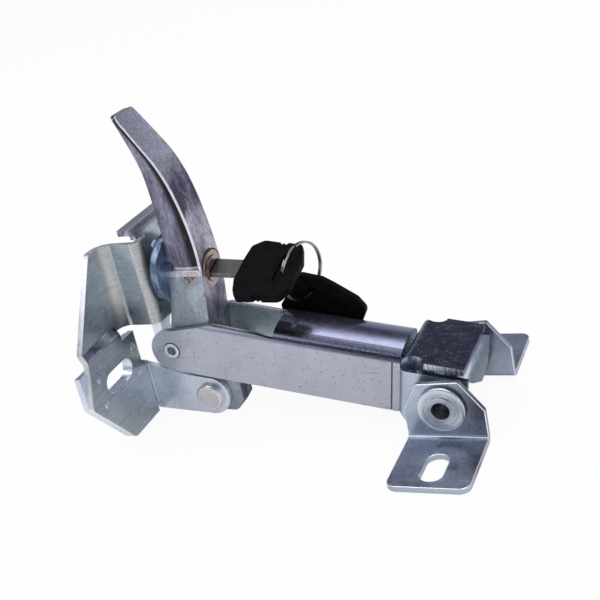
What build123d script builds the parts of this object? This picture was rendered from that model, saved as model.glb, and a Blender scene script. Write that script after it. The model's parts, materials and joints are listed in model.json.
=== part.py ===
from build123d import *
from math import atan2, cos, radians, sin, tan
import os

os.makedirs("parts", exist_ok=True)

# Keyed over-centre draw latch for a hood
# +X points out from the mounting face towards the catches, +Y away from the viewer, +Z up.
# The origin is the centre of the two base slots, on the mounting face.

# Base plate
base_t = 2.6
slot_w = 9.6
base_slot_len = 21.4
base_slot_y = 29.7
foot_out_y = 53.6
foot_side_z = -3.8
foot_low_y = 31.0
foot_bottom_z = -30.6
foot_in_y = 11.3
foot_corner_r = 3.0
wing_low_y = 52.0
wing_top_y = 26.6
wing_top_z = 54.8
wing_corner_r = 4.0
joggle_top_z = 19.5
joggle_low_z = 16.1
joggle_bend = 1.2
channel_half_w = 13.5
channel_front_x = 21.3
channel_low_z = 16.5
channel_bend_out = 7.8
channel_bend_in = 5.2
slit_low_z = 12.6
slit_y = 21.0
lip_z = 60.9
lip_back_x = 12.9
lip_half_w = 12.9
lip_bend = 3.6
lip_relief_z = 1.6
lip_neck_half_w = 5.6
cam_slot_half_w = 4.7

# Ears and handle pin
pin_x = 33.8
pin_z = -23.1
ear_in_y = 5.0
ear_r = 9.2
ear_root_top_z = -4.9
ear_root_low_z = -28.9
ear_bend_in = 1.0
pin_r = 3.5
pin_head_r = 5.7
pin_head_h = 2.6
pin_chamfer = 0.8

# Running clearances
side_gap = 0.2
bore_gap = 0.05
face_gap = 0.1

# Handle, seen from the side with the handle pin at 0, 0
stem_half_w = 7.0
flange_half_w = 8.3
flange_t = 3.0
block_half_w = 10.2
handle_h = 131.8
lever_root_z = 58.0

# Arm pivot, from the handle pin
arm_dx = -10.2
arm_dz = 26.2
arm_slope = 11.0
rivet_r = 3.0
rivet_bore_r = 2.1
rivet_head_r = 3.6
rivet_head_h = 0.5

# Arm housing, in the arm's own frame: x along the arm, z up
arm_t = 2.4
arm_half_w = 13.05
arm_end_r = 10.0
arm_roof_x = 48.3
arm_len = 104.4
arm_roof_z = 19.4
arm_corner_r = 5.6
arm_kink_x = 19.1
arm_kink_z = 15.7
arm_wall_z = 14.8

# Tension rod and spring
rod_z = 4.8
rod_r = 4.0
rod_start_x = 45.5
rod_past_nut = 2.0
nut_af = 13.0
nut_h = 6.5
seat_r = 9.4
seat_t = 2.0
wire_r = 1.3
coil_r = 6.9
coils = 8
slide_travel = 9.0

# Yoke
yoke_gap = 1.3
yoke_t = 2.6
yoke_half_w = 20.9
yoke_top_z = 19.0
yoke_flange_len = 26.2
yoke_flange_half_w = 19.6
yoke_relief_in = 5.7
yoke_relief_r = 4.4
yoke_neck_half_w = 16.4
yoke_low_z = -10.1
yoke_wall_len = 28.3
yoke_bend_in = 1.2
yoke_corner = 5.6
yoke_bend_gap = 0.5
yoke_pivot_in = 19.9

# Cross pivot
tube_r = 5.0
tube_bore_r = 3.8
tube_flare_r = 5.9
tube_flare_h = 0.8
spacer_r = 7.5
pivot_head_r = 9.7
pivot_head_t = 2.2

# Catch brackets, from the cross pivot
spacer_t = 3.0
catch_t = 2.6
catch_left = 16.1
catch_right = 16.9
catch_top = 11.2
catch_slant_x = 6.2
catch_flat_x = 7.8
catch_shoulder = -1.4
catch_foot_y = 61.3
catch_slot_y = 48.0
catch_slot_len = 18.2
catch_slot_w = 9.2
catch_corner_r = 4.4
catch_bend_in = 1.4

# Lock: s runs back from the lock's face along its axis
lock_x = 12.6
lock_z = 59.6
lock_tilt = 5.0
lock_face_r = 8.6
lock_face_proud = 0.8
lock_rim_depth = 2.4
barrel_r = 6.4
barrel_end = 23.0
plug_r = 5.6
plug_proud = 0.3
plug_end = 20.4
stem_r = 3.4
cup_r = 14.8
cup_start = 14.0
cup_end = 21.2
cup_round = 1.4
cam_start = 29.2
cam_t = 2.6
cam_half_len = 9.0
cam_half_w = 3.5
cam_screw_r = 3.3
cam_screw_h = 2.2
cam_slot_above = 2.6
cam_slot_below = 1.2

# Keys
key_roll = 16.0
blade_w = 9.8
blade_t = 2.2
blade_depth = 19.0
blade_tip = 3.0
keyway_gap = 0.15
head_start = 12.8
head_len = 26.1
head_half_w = 17.4
head_end_half_w = 16.0
head_corner = 4.4
head_t = 3.6
head_overlap = 8.0
ring_slot_back = 7.0
ring_slot_half = 7.4
ring_slot_w = 3.0
notch_r = 0.9
ring_r = 12.6
ring_wire_w = 0.85
ring_wire_t = 0.85
main_hook_v = 4.0
spare_y = 15.4
spare_x = 59.9
spare_z = 42.6
spare_slope = 32.5
spare_hook_v = 5.4
ring_lean = 0.6

# Frames
side = Plane(origin=(pin_x, 0, pin_z), x_dir=(1, 0, 0), z_dir=(0, -1, 0))
arm_c = cos(radians(arm_slope))
arm_s = sin(radians(arm_slope))
arm_x = pin_x + arm_dx
arm_z = pin_z + arm_dz
arm = Plane(origin=(arm_x, 0, arm_z), x_dir=(arm_c, 0, -arm_s), z_dir=(0, -1, 0))
lock_c = cos(radians(lock_tilt))
lock_s = sin(radians(lock_tilt))
lock_origin = Vector(pin_x + lock_x, 0, pin_z + lock_z)
lock_axis = Vector(lock_c, 0, -lock_s)
lock_up = Vector(lock_s, 0, lock_c)
key_across = Vector(0, cos(radians(key_roll)), 0) + lock_up * sin(radians(key_roll))
key_normal = lock_axis.cross(key_across)


def on_lever(x, share):
    """Place on the lever's side, share up from its root to its tip."""
    return (x, lever_root_z + share * (handle_h - lever_root_z))


def lock_plane(s):
    """Plane across the lock's axis at a depth s behind its face, facing out."""
    return Plane(origin=lock_origin - lock_axis * s, x_dir=(0, 1, 0), z_dir=lock_axis)


def arm_plane(x):
    """Plane across the arm at x along it, local x towards +Y and local y up."""
    origin = (arm_x + x * arm_c, 0, arm_z - x * arm_s)
    return Plane(origin=origin, x_dir=(0, 1, 0), z_dir=(arm_c, 0, -arm_s))


def in_arm(x, z):
    """World X and Z of a place given in the arm's own frame."""
    return (arm_x + x * arm_c + z * arm_s, arm_z - x * arm_s + z * arm_c)


# Derived places
web_back_x = channel_front_x - base_t
ear_out_y = ear_in_y + base_t
foot_step_y = ear_out_y + ear_bend_in + face_gap
ground_z = pin_z - ear_r
arm_in_y = arm_half_w - arm_t
yoke_x = arm_len + yoke_gap
yoke_flange_x = yoke_x + yoke_flange_len
yoke_relief_x = yoke_x + yoke_relief_in
yoke_end_x = yoke_x + yoke_wall_len
yoke_pivot_x = yoke_x + yoke_pivot_in
yoke_in_y = yoke_half_w - yoke_t
catch_in_y = yoke_half_w + face_gap + spacer_t
catch_out_y = catch_in_y + catch_t
cam_z = lock_origin.Z + (cam_start + cam_t / 2) * lock_s
cam_slot_top = cam_z + cam_half_len + cam_slot_above
cam_slot_low = cam_z - cam_half_len - cam_slot_below
pivot_x, pivot_z = in_arm(yoke_pivot_x, rod_z)
joggle_shift = base_t * tan(atan2(base_t, joggle_top_z - joggle_low_z) / 2)
joggle_lead = 2.4

# Base plate: wings and channel in one bent section
with BuildPart() as base_plate:
    with BuildSketch(Plane.XY.offset(channel_low_z)):
        with BuildLine():
            back = FilletPolyline(
                (0, -foot_out_y),
                (0, -channel_half_w + base_t),
                (web_back_x, -channel_half_w + base_t),
                (web_back_x, channel_half_w - base_t),
                (0, channel_half_w - base_t),
                (0, foot_out_y),
                radius=[
                    channel_bend_in + base_t,
                    channel_bend_out - base_t,
                    channel_bend_out - base_t,
                    channel_bend_in + base_t,
                ],
            )
            front = FilletPolyline(
                (base_t, -foot_out_y),
                (base_t, -channel_half_w),
                (channel_front_x, -channel_half_w),
                (channel_front_x, channel_half_w),
                (base_t, channel_half_w),
                (base_t, foot_out_y),
                radius=[channel_bend_in, channel_bend_out, channel_bend_out, channel_bend_in],
            )
            Line(back @ 0, front @ 0)
            Line(back @ 1, front @ 1)
        make_face()
    extrude(amount=wing_top_z - channel_low_z)
    # The outer sheet below the wings is stepped forward, so it is cleared here
    with BuildSketch(Plane.YZ):
        clear_h = joggle_top_z + joggle_lead - channel_low_z
        for sign in (-1, 1):
            with Locations((sign * (slit_y + foot_out_y) / 2, channel_low_z + clear_h / 2)):
                Rectangle(foot_out_y - slit_y, clear_h)
    extrude(amount=base_t, mode=Mode.SUBTRACT)
    # Joggle: the sheet steps forward by its own thickness
    for sign in (-1, 1):
        with BuildSketch(Plane.XZ.offset(-sign * slit_y)):
            with BuildLine():
                behind = FilletPolyline(
                    (0, joggle_top_z + joggle_lead),
                    (0, joggle_top_z - joggle_shift),
                    (base_t, joggle_low_z - joggle_shift),
                    (base_t, joggle_low_z - 2 * joggle_lead),
                    radius=[joggle_bend + base_t, joggle_bend],
                )
                ahead = FilletPolyline(
                    (base_t, joggle_top_z + joggle_lead),
                    (base_t, joggle_top_z),
                    (2 * base_t, joggle_low_z),
                    (2 * base_t, joggle_low_z - 2 * joggle_lead),
                    radius=[joggle_bend, joggle_bend + base_t],
                )
                Line(behind @ 0, ahead @ 0)
                Line(behind @ 1, ahead @ 1)
            make_face()
        extrude(amount=-sign * (foot_out_y - slit_y))
    # Feet
    with BuildSketch(Plane.YZ.offset(base_t)):
        for sign in (-1, 1):
            with BuildLine():
                Polyline(
                    (sign * slit_y, joggle_low_z - 2 * joggle_lead),
                    (sign * foot_out_y, joggle_low_z - 2 * joggle_lead),
                    (sign * foot_out_y, foot_side_z),
                    (sign * foot_low_y, foot_bottom_z),
                    (sign * foot_step_y, foot_bottom_z),
                    (sign * foot_step_y, ear_root_top_z),
                    (sign * foot_in_y, ear_root_top_z + foot_in_y - foot_step_y),
                    (sign * foot_in_y, slit_low_z),
                    (sign * slit_y, slit_low_z),
                    close=True,
                )
            make_face()
        with Locations((-base_slot_y, 0), (base_slot_y, 0)):
            SlotOverall(base_slot_len, slot_w, mode=Mode.SUBTRACT)
    extrude(amount=base_t)
    # Front outline of the wings and feet
    with BuildSketch(Plane.YZ) as outline:
        with BuildLine():
            Polyline(
                (-wing_top_y, wing_top_z),
                (-wing_low_y, joggle_top_z),
                (-foot_out_y, joggle_low_z - joggle_lead),
                (-foot_out_y, foot_side_z),
                (-foot_low_y, foot_bottom_z),
                (foot_low_y, foot_bottom_z),
                (foot_out_y, foot_side_z),
                (foot_out_y, joggle_low_z - joggle_lead),
                (wing_low_y, joggle_top_z),
                (wing_top_y, wing_top_z),
                close=True,
            )
        make_face()
        top_corners = outline.vertices().filter_by_position(Axis.Y, wing_top_z - 0.1, wing_top_z + 0.1)
        fillet(top_corners, wing_corner_r)
        low_corners = outline.vertices().filter_by_position(Axis.Y, foot_bottom_z - 0.1, foot_side_z + 0.1)
        fillet(low_corners, foot_corner_r)
    extrude(amount=channel_front_x, mode=Mode.INTERSECT)
    # Hook lip: the web runs on above a relief notch and bends back
    with BuildSketch(Plane.XZ.offset(-lip_half_w)):
        with BuildLine():
            under = FilletPolyline(
                (web_back_x, wing_top_z + lip_relief_z),
                (web_back_x, lip_z - base_t),
                (lip_back_x, lip_z - base_t),
                radius=lip_bend - base_t,
            )
            over = FilletPolyline(
                (channel_front_x, wing_top_z + lip_relief_z),
                (channel_front_x, lip_z),
                (lip_back_x, lip_z),
                radius=lip_bend,
            )
            Line(under @ 0, over @ 0)
            Line(under @ 1, over @ 1)
        make_face()
    extrude(amount=2 * lip_half_w)
    with BuildSketch(Plane.YZ.offset(web_back_x)):
        with Locations((0, wing_top_z)):
            Rectangle(2 * lip_neck_half_w, 2 * lip_relief_z + 2)
    extrude(amount=base_t)
    # Slot for the lock's cam
    with BuildSketch(Plane.YZ.offset(web_back_x)):
        with Locations((0, (cam_slot_top + cam_slot_low) / 2)):
            SlotOverall(cam_slot_top - cam_slot_low, 2 * cam_slot_half_w, rotation=90)
    extrude(amount=base_t, mode=Mode.SUBTRACT)
base_plate.part.label = "base_plate"

# Ear brackets: a plate behind each foot and an ear bent forward from its inner edge
ear_top_z = slit_low_z - joggle_bend
with BuildPart() as near_ear:
    with BuildSketch(Plane.XY.offset(ground_z)):
        with BuildLine():
            rear_face = FilletPolyline(
                (0, -foot_out_y),
                (0, -ear_in_y),
                (pin_x + ear_r, -ear_in_y),
                radius=ear_bend_in + base_t,
            )
            front_face = FilletPolyline(
                (base_t, -foot_out_y),
                (base_t, -ear_out_y),
                (pin_x + ear_r, -ear_out_y),
                radius=ear_bend_in,
            )
            Line(rear_face @ 0, front_face @ 0)
            Line(rear_face @ 1, front_face @ 1)
        make_face()
    extrude(amount=ear_top_z - ground_z)
    # Side outline of the ear
    with BuildSketch(Plane.XZ) as ear:
        with Locations(((pin_x + ear_r) / 2, (ear_top_z + ground_z) / 2)):
            Rectangle(pin_x + ear_r + 4, ear_top_z - ground_z + 4)
        with BuildLine():
            Polyline(
                (-4, ear_root_low_z),
                (0, ear_root_low_z),
                (pin_x, ground_z),
                (pin_x, pin_z + ear_r),
                (pin_x - ear_r, pin_z + ear_r + 1.8),
                (0, ear_root_top_z),
                (-4, ear_root_top_z),
                close=True,
            )
        make_face(mode=Mode.SUBTRACT)
        with Locations((pin_x, pin_z)):
            Circle(ear_r, mode=Mode.SUBTRACT)
            Circle(pin_r + bore_gap)
    extrude(amount=foot_step_y, mode=Mode.SUBTRACT)
    # Front outline of the plate, with the slot behind the foot's
    with BuildSketch(Plane.YZ) as plate:
        with BuildLine():
            Polyline(
                (-foot_out_y, ear_top_z),
                (-foot_out_y, foot_side_z),
                (-foot_low_y, foot_bottom_z),
                (-foot_step_y, foot_bottom_z),
                (-foot_step_y, ground_z),
                (0, ground_z),
                (0, ear_root_top_z),
                (-foot_step_y, ear_root_top_z),
                (-foot_in_y, ear_root_top_z + foot_in_y - foot_step_y),
                (-foot_in_y, ear_top_z),
                close=True,
            )
        make_face()
        outer = plate.vertices().filter_by_position(Axis.X, -foot_out_y - 0.1, -foot_low_y + 0.1)
        fillet(outer.filter_by_position(Axis.Y, foot_bottom_z - 0.1, foot_side_z + 0.1), foot_corner_r)
        with Locations((-base_slot_y, 0)):
            SlotOverall(base_slot_len, slot_w, mode=Mode.SUBTRACT)
    extrude(amount=pin_x + ear_r, mode=Mode.INTERSECT)
near_ear.part.label = "near_ear_bracket"

with BuildPart() as far_ear:
    mirror(near_ear.part, about=Plane.XZ)
far_ear.part.label = "far_ear_bracket"

# Handle pin, riveted over both ears
with BuildPart() as handle_pin:
    with BuildSketch(side):
        Circle(pin_r)
    extrude(amount=ear_out_y, both=True)
    for sign in (-1, 1):
        with BuildSketch(side.offset(sign * ear_out_y)):
            Circle(pin_head_r)
        extrude(amount=sign * pin_head_h)
    rims = handle_pin.edges().filter_by(GeomType.CIRCLE).group_by(Axis.Y)
    chamfer([rims[0][0], rims[-1][0]], pin_chamfer)
handle_pin.part.label = "handle_pin"

# Cast handle: stem, front flange, block over the arm pivot, heel between the ears, lock boss
with BuildPart() as handle:
    with BuildSketch(side):
        with BuildLine():
            face = Spline(
                on_lever(11.0, 0),
                on_lever(11.0, 0.1192),
                on_lever(9.1, 0.374),
                on_lever(4.3, 0.6165),
                on_lever(-5.6, 0.8537),
                on_lever(-12.2, 0.9864),
            )
            Line(face @ 1, on_lever(-13.0, 0.9864))
            rear = Spline(
                on_lever(-13.0, 0.9864),
                on_lever(-6.7, 0.6477),
                on_lever(-5.8, 0.4648),
                on_lever(-5.6, 0.248),
                on_lever(-7.3, 0),
            )
            Line(rear @ 1, face @ 0)
        make_face()
    extrude(amount=stem_half_w, both=True)
    with BuildSketch(side):
        with BuildLine():
            crest = Spline(
                on_lever(12.2, 0.1192),
                on_lever(10.3, 0.374),
                on_lever(5.5, 0.6165),
                on_lever(-4.4, 0.8604),
                on_lever(-11.7, 1),
            )
            Line(crest @ 1, on_lever(-12.4, 0.9919))
            inner = Spline(
                on_lever(-12.4, 0.9919),
                on_lever(-4.4 - flange_t, 0.8333),
                on_lever(5.5 - flange_t, 0.5962),
                on_lever(10.3 - flange_t, 0.3659),
                on_lever(12.2 - flange_t, 0.1192),
            )
            Line(inner @ 1, crest @ 0)
        make_face()
    extrude(amount=flange_half_w, both=True)
    with BuildSketch(side) as block:
        with BuildLine():
            Polyline(
                (-5.0, 61.8),
                (13.7, 67.6),
                (10.0, 37.3),
                (8.4, 24.4),
                (4.6, 17.4),
                (-8.5, 17.4),
                (-13.1, 21.0),
                (-13.1, 33.6),
                close=True,
            )
        make_face()
        fillet(block.vertices().sort_by(Axis.Y)[:4], 2.0)
    extrude(amount=block_half_w, both=True)
    with BuildSketch(side) as heel:
        with BuildLine():
            Polyline(
                (-8.5, 20.0),
                (-8.6, 0.0),
                (-6.4, -6.0),
                (0.0, -8.4),
                (9.2, -8.9),
                (11.0, -8.1),
                (14.5, -3.5),
                (14.5, 5.2),
                (8.2, 20.0),
                close=True,
            )
        make_face()
        fillet(heel.vertices().sort_by(Axis.X)[:3], 1.5)
    extrude(amount=ear_in_y - side_gap, both=True)
    # Boss behind the lock
    with BuildSketch(Plane(origin=lock_origin, x_dir=lock_axis, z_dir=(0, -1, 0))):
        with BuildLine():
            Polyline(
                (-cup_start, 0),
                (-cup_start, cup_r),
                (-cup_end + cup_round, cup_r),
                (-cup_end, cup_r - cup_round),
                (-cup_end, 0),
                close=True,
            )
        make_face()
    revolve(axis=Axis(lock_origin, lock_axis))
    # Bores: handle pin, arm rivet, lock
    with BuildSketch(side):
        Circle(pin_r + bore_gap)
        with Locations((arm_dx, arm_dz)):
            Circle(rivet_r + bore_gap)
    extrude(amount=2 * block_half_w, both=True, mode=Mode.SUBTRACT)
    with BuildSketch(lock_plane(cup_end + 8)):
        Circle(barrel_r + bore_gap)
    extrude(amount=cup_end + 16, mode=Mode.SUBTRACT)
    with BuildSketch(lock_plane(lock_rim_depth)):
        Circle(lock_face_r + bore_gap)
    extrude(amount=lock_rim_depth + 6, mode=Mode.SUBTRACT)
handle.part.label = "handle"

# Lock barrel: a rimmed sleeve in the handle
with BuildPart() as lock_barrel:
    with BuildSketch(lock_plane(barrel_end)):
        Circle(barrel_r)
    extrude(amount=barrel_end)
    with BuildSketch(lock_plane(lock_rim_depth)):
        Circle(lock_face_r)
    extrude(amount=lock_rim_depth + lock_face_proud)
    chamfer(lock_barrel.edges().filter_by(GeomType.CIRCLE).sort_by(Axis.X)[-1], 0.5)
    with BuildSketch(lock_plane(plug_end + face_gap)):
        Circle(plug_r + bore_gap)
    extrude(amount=plug_end + 10, mode=Mode.SUBTRACT)
    with BuildSketch(lock_plane(barrel_end)):
        Circle(stem_r + bore_gap)
    extrude(amount=barrel_end, mode=Mode.SUBTRACT)
lock_barrel.part.label = "lock_barrel"

# Lock plug: turns with the key and carries the cam on its stem
with BuildPart() as lock_plug:
    with BuildSketch(lock_plane(plug_end)):
        Circle(plug_r)
    extrude(amount=plug_end + lock_face_proud + plug_proud)
    with BuildSketch(lock_plane(cam_start)):
        Circle(stem_r)
    extrude(amount=cam_start - plug_end)
    with BuildSketch(lock_plane(blade_depth + face_gap)):
        Rectangle(blade_w + 2 * keyway_gap, blade_t + 2 * keyway_gap, rotation=key_roll)
    extrude(amount=blade_depth + 10, mode=Mode.SUBTRACT)
lock_plug.part.label = "lock_plug"

# Cam bar, upright when unlocked so that it passes the slot in the base's web
with BuildPart() as lock_cam:
    with BuildSketch(lock_plane(cam_start + cam_t)):
        SlotOverall(2 * cam_half_len, 2 * cam_half_w, rotation=90)
    extrude(amount=cam_t)
lock_cam.part.label = "lock_cam"

with BuildPart() as cam_screw:
    with BuildSketch(lock_plane(cam_start + cam_t + cam_screw_h)):
        Circle(cam_screw_r)
    extrude(amount=cam_screw_h)
    chamfer(cam_screw.edges().filter_by(GeomType.CIRCLE).sort_by(Axis.X)[0], 0.5)
    with BuildSketch(lock_plane(cam_start + cam_t + cam_screw_h)):
        Rectangle(2 * cam_screw_r + 1, 0.9)
    extrude(amount=1.0, mode=Mode.SUBTRACT)
cam_screw.part.label = "cam_screw"


def key_blade_on(frame, start):
    """Flat key blade in a frame whose x runs from the tip's side out to the head."""
    with BuildPart() as made:
        with BuildSketch(frame.offset(-blade_t / 2)):
            with BuildLine():
                Polyline(
                    (start, -blade_w / 2),
                    (start - blade_depth - head_start + blade_tip, -blade_w / 2),
                    (start - blade_depth - head_start, -blade_w / 2 + blade_tip),
                    (start - blade_depth - head_start, blade_w / 2 - blade_tip),
                    (start - blade_depth - head_start + blade_tip, blade_w / 2),
                    (start, blade_w / 2),
                    close=True,
                )
            make_face()
        extrude(amount=blade_t)
    return made


def key_head_on(frame, start):
    """Moulded key head with a ring slot and grip notches, x out from the blade."""
    end = start + head_len
    with BuildPart() as made:
        with BuildSketch(frame.offset(-head_t / 2)) as plan:
            with BuildLine():
                Polyline(
                    (start, -head_half_w + 8.2),
                    (start + head_corner, -head_half_w),
                    (end - head_corner, -head_end_half_w - 0.4),
                    (end, -head_end_half_w + 6.0),
                    (end, head_end_half_w - 6.0),
                    (end - head_corner, head_end_half_w + 0.4),
                    (start + head_corner, head_half_w),
                    (start, head_half_w - 8.2),
                    close=True,
                )
            make_face()
            fillet(plan.vertices(), 2.0)
            with Locations((end - ring_slot_back, 0)):
                SlotOverall(2 * ring_slot_half + ring_slot_w, ring_slot_w, rotation=90, mode=Mode.SUBTRACT)
            for sign in (-1, 1):
                with Locations(
                    (start + 15.0, sign * (head_half_w - 0.4)),
                    (start + 17.6, sign * (head_half_w - 0.6)),
                    (start + 20.2, sign * (head_half_w - 0.8)),
                ):
                    Circle(notch_r, mode=Mode.SUBTRACT)
        extrude(amount=head_t)
        flats = made.faces().filter_by(lambda f: abs(f.normal_at().dot(frame.z_dir)) > 0.99)
        chamfer(flats.edges().filter_by(GeomType.LINE), 0.4)
        with BuildSketch(frame.offset(-blade_t / 2)):
            with Locations((start + head_overlap / 2 - 1, 0)):
                Rectangle(head_overlap + 2, blade_w)
        extrude(amount=blade_t, mode=Mode.SUBTRACT)
    return made


# Main key in the lock
main_frame = Plane(origin=lock_origin, x_dir=lock_axis, z_dir=key_normal)
key_blade = key_blade_on(main_frame, head_start + head_overlap)
key_blade.part.label = "key_blade"
key_head = key_head_on(main_frame, head_start)
key_head.part.label = "key_head"

# Spare key, hanging on the ring behind the arm
slope_c = cos(radians(spare_slope))
slope_s = sin(radians(spare_slope))
spare_out = Vector(slope_s, 0, slope_c)
spare_across = Vector(-slope_c, 0, slope_s)
spare_end = Vector(pin_x + spare_x, spare_y, pin_z + spare_z)
spare_frame = Plane(
    origin=spare_end - spare_out * (head_start + head_len),
    x_dir=spare_out,
    z_dir=spare_out.cross(spare_across),
)
spare_key_blade = key_blade_on(spare_frame, head_start + head_overlap)
spare_key_blade.part.label = "spare_key_blade"
spare_key_head = key_head_on(spare_frame, head_start)
spare_key_head.part.label = "spare_key_head"

# Split ring through both heads' slots
hook_u = head_start + head_len - ring_slot_back
main_hook = lock_origin + lock_axis * hook_u + key_across * main_hook_v
spare_hook = spare_end - spare_out * ring_slot_back + spare_across * spare_hook_v
chord = spare_hook - main_hook
chord_dir = chord.normalized()
lean = Vector(0.05, 1, ring_lean)
lean = (lean - chord_dir * lean.dot(chord_dir)).normalized()
ring_mid = main_hook + chord * 0.5
ring_off = max(ring_r**2 - (chord.length / 2) ** 2, 0.0) ** 0.5
ring_centre = ring_mid + lean * ring_off
ring_normal = chord_dir.cross(lean)
with BuildPart() as split_ring:
    ring_frame = Plane(origin=ring_centre, x_dir=lean, z_dir=ring_normal)
    with BuildSketch(ring_frame.offset(-ring_wire_w)):
        Circle(ring_r + ring_wire_t / 2)
        Circle(ring_r - ring_wire_t / 2, mode=Mode.SUBTRACT)
    extrude(amount=2 * ring_wire_w)
    with BuildSketch(ring_frame.offset(-ring_wire_w / 8)):
        Circle(ring_r + ring_wire_t)
        Circle(ring_r + ring_wire_t / 2 - 0.12, mode=Mode.SUBTRACT)
    extrude(amount=ring_wire_w / 4, mode=Mode.SUBTRACT)
split_ring.part.label = "split_ring"

# Arm housing: folded channel, open below, with a roof over its outer half and an end wall
with BuildPart() as arm_housing:
    with BuildSketch(arm_plane(-arm_end_r)) as shell:
        with BuildLine():
            outside = FilletPolyline(
                (-arm_half_w, -arm_end_r),
                (-arm_half_w, arm_roof_z),
                (arm_half_w, arm_roof_z),
                (arm_half_w, -arm_end_r),
                radius=arm_corner_r,
            )
            inside = FilletPolyline(
                (-arm_in_y, -arm_end_r),
                (-arm_in_y, arm_roof_z - arm_t),
                (arm_in_y, arm_roof_z - arm_t),
                (arm_in_y, -arm_end_r),
                radius=arm_corner_r - arm_t,
            )
            Line(outside @ 0, inside @ 0)
            Line(outside @ 1, inside @ 1)
        make_face()
    extrude(amount=arm_len + arm_end_r)
    with BuildSketch(arm) as arm_side:
        with BuildLine():
            Polyline(
                (0, -arm_end_r),
                (arm_len, -arm_end_r),
                (arm_len, arm_roof_z),
                (arm_roof_x, arm_roof_z),
                (arm_roof_x, arm_wall_z),
                (arm_kink_x, arm_kink_z),
                (-arm_end_r * 0.64, arm_end_r * 0.768),
                (0, 0),
                close=True,
            )
        make_face()
        Circle(arm_end_r)
        fillet(arm_side.vertices().filter_by_position(Axis.X, arm_kink_x - 0.1, arm_kink_x + 0.1), 3.0)
    extrude(amount=arm_half_w, both=True, mode=Mode.INTERSECT)
    # End wall with the rod's hole
    with BuildSketch(arm_plane(arm_len - arm_t)):
        with Locations((0, (arm_roof_z - arm_end_r) / 2 - arm_t / 2)):
            Rectangle(2 * arm_in_y + arm_t, arm_roof_z + arm_end_r - arm_t)
        with Locations((0, rod_z)):
            Circle(rod_r + 4 * bore_gap, mode=Mode.SUBTRACT)
    extrude(amount=arm_t)
    with BuildSketch(arm):
        Circle(rivet_r + bore_gap)
    extrude(amount=arm_half_w, both=True, mode=Mode.SUBTRACT)
arm_housing.part.label = "arm_housing"

# Hollow rivet through the arm and the handle
with BuildPart() as arm_rivet:
    with BuildSketch(arm):
        Circle(rivet_r)
    extrude(amount=arm_half_w, both=True)
    for sign in (-1, 1):
        with BuildSketch(arm.offset(sign * arm_half_w)):
            Circle(rivet_head_r)
        extrude(amount=sign * rivet_head_h)
    with BuildSketch(arm):
        Circle(rivet_bore_r)
    extrude(amount=arm_half_w + rivet_head_h, both=True, mode=Mode.SUBTRACT)
arm_rivet.part.label = "arm_rivet"

# Tension rod with its nut, seat and spring inside the arm
seat_x = rod_start_x + rod_past_nut + nut_h
yoke_nut_x = yoke_x + yoke_t
rod_end_x = yoke_nut_x + nut_h + rod_past_nut
with BuildPart() as tension_rod:
    with BuildSketch(arm_plane(rod_start_x)):
        with Locations((0, rod_z)):
            Circle(rod_r)
    extrude(amount=rod_end_x - rod_start_x)
    chamfer(tension_rod.edges().filter_by(GeomType.CIRCLE), 0.6)
tension_rod.part.label = "tension_rod"


def rod_nut_at(x):
    """Hexagon nut on the rod, x along the arm."""
    with BuildPart() as made:
        with BuildSketch(arm_plane(x)):
            with Locations((0, rod_z)):
                RegularPolygon(nut_af / 2, 6, major_radius=False)
                Circle(rod_r + bore_gap, mode=Mode.SUBTRACT)
        extrude(amount=nut_h)
    return made


rod_nut = rod_nut_at(rod_start_x + rod_past_nut)
rod_nut.part.label = "rod_nut"
yoke_nut = rod_nut_at(yoke_nut_x)
yoke_nut.part.label = "yoke_nut"

with BuildPart() as spring_seat:
    with BuildSketch(arm_plane(seat_x)):
        with Locations((0, rod_z)):
            Circle(seat_r)
            Circle(rod_r + bore_gap, mode=Mode.SUBTRACT)
    extrude(amount=seat_t)
spring_seat.part.label = "spring_seat"

spring_x = seat_x + seat_t
spring_room = arm_len - arm_t - spring_x
with BuildPart() as tension_spring:
    turn_h = spring_room - 2 * wire_r - 2 * face_gap
    coil_x, coil_z = in_arm(spring_x + wire_r + face_gap, rod_z)
    with BuildLine() as coil:
        Helix(
            pitch=turn_h / coils,
            height=turn_h,
            radius=coil_r,
            center=(coil_x, 0, coil_z),
            direction=(arm_c, 0, -arm_s),
        )
    with BuildSketch(Plane(origin=coil.line @ 0, z_dir=coil.line % 0)):
        Circle(wire_r)
    sweep(is_frenet=True)
tension_spring.part.label = "tension_spring"

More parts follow.
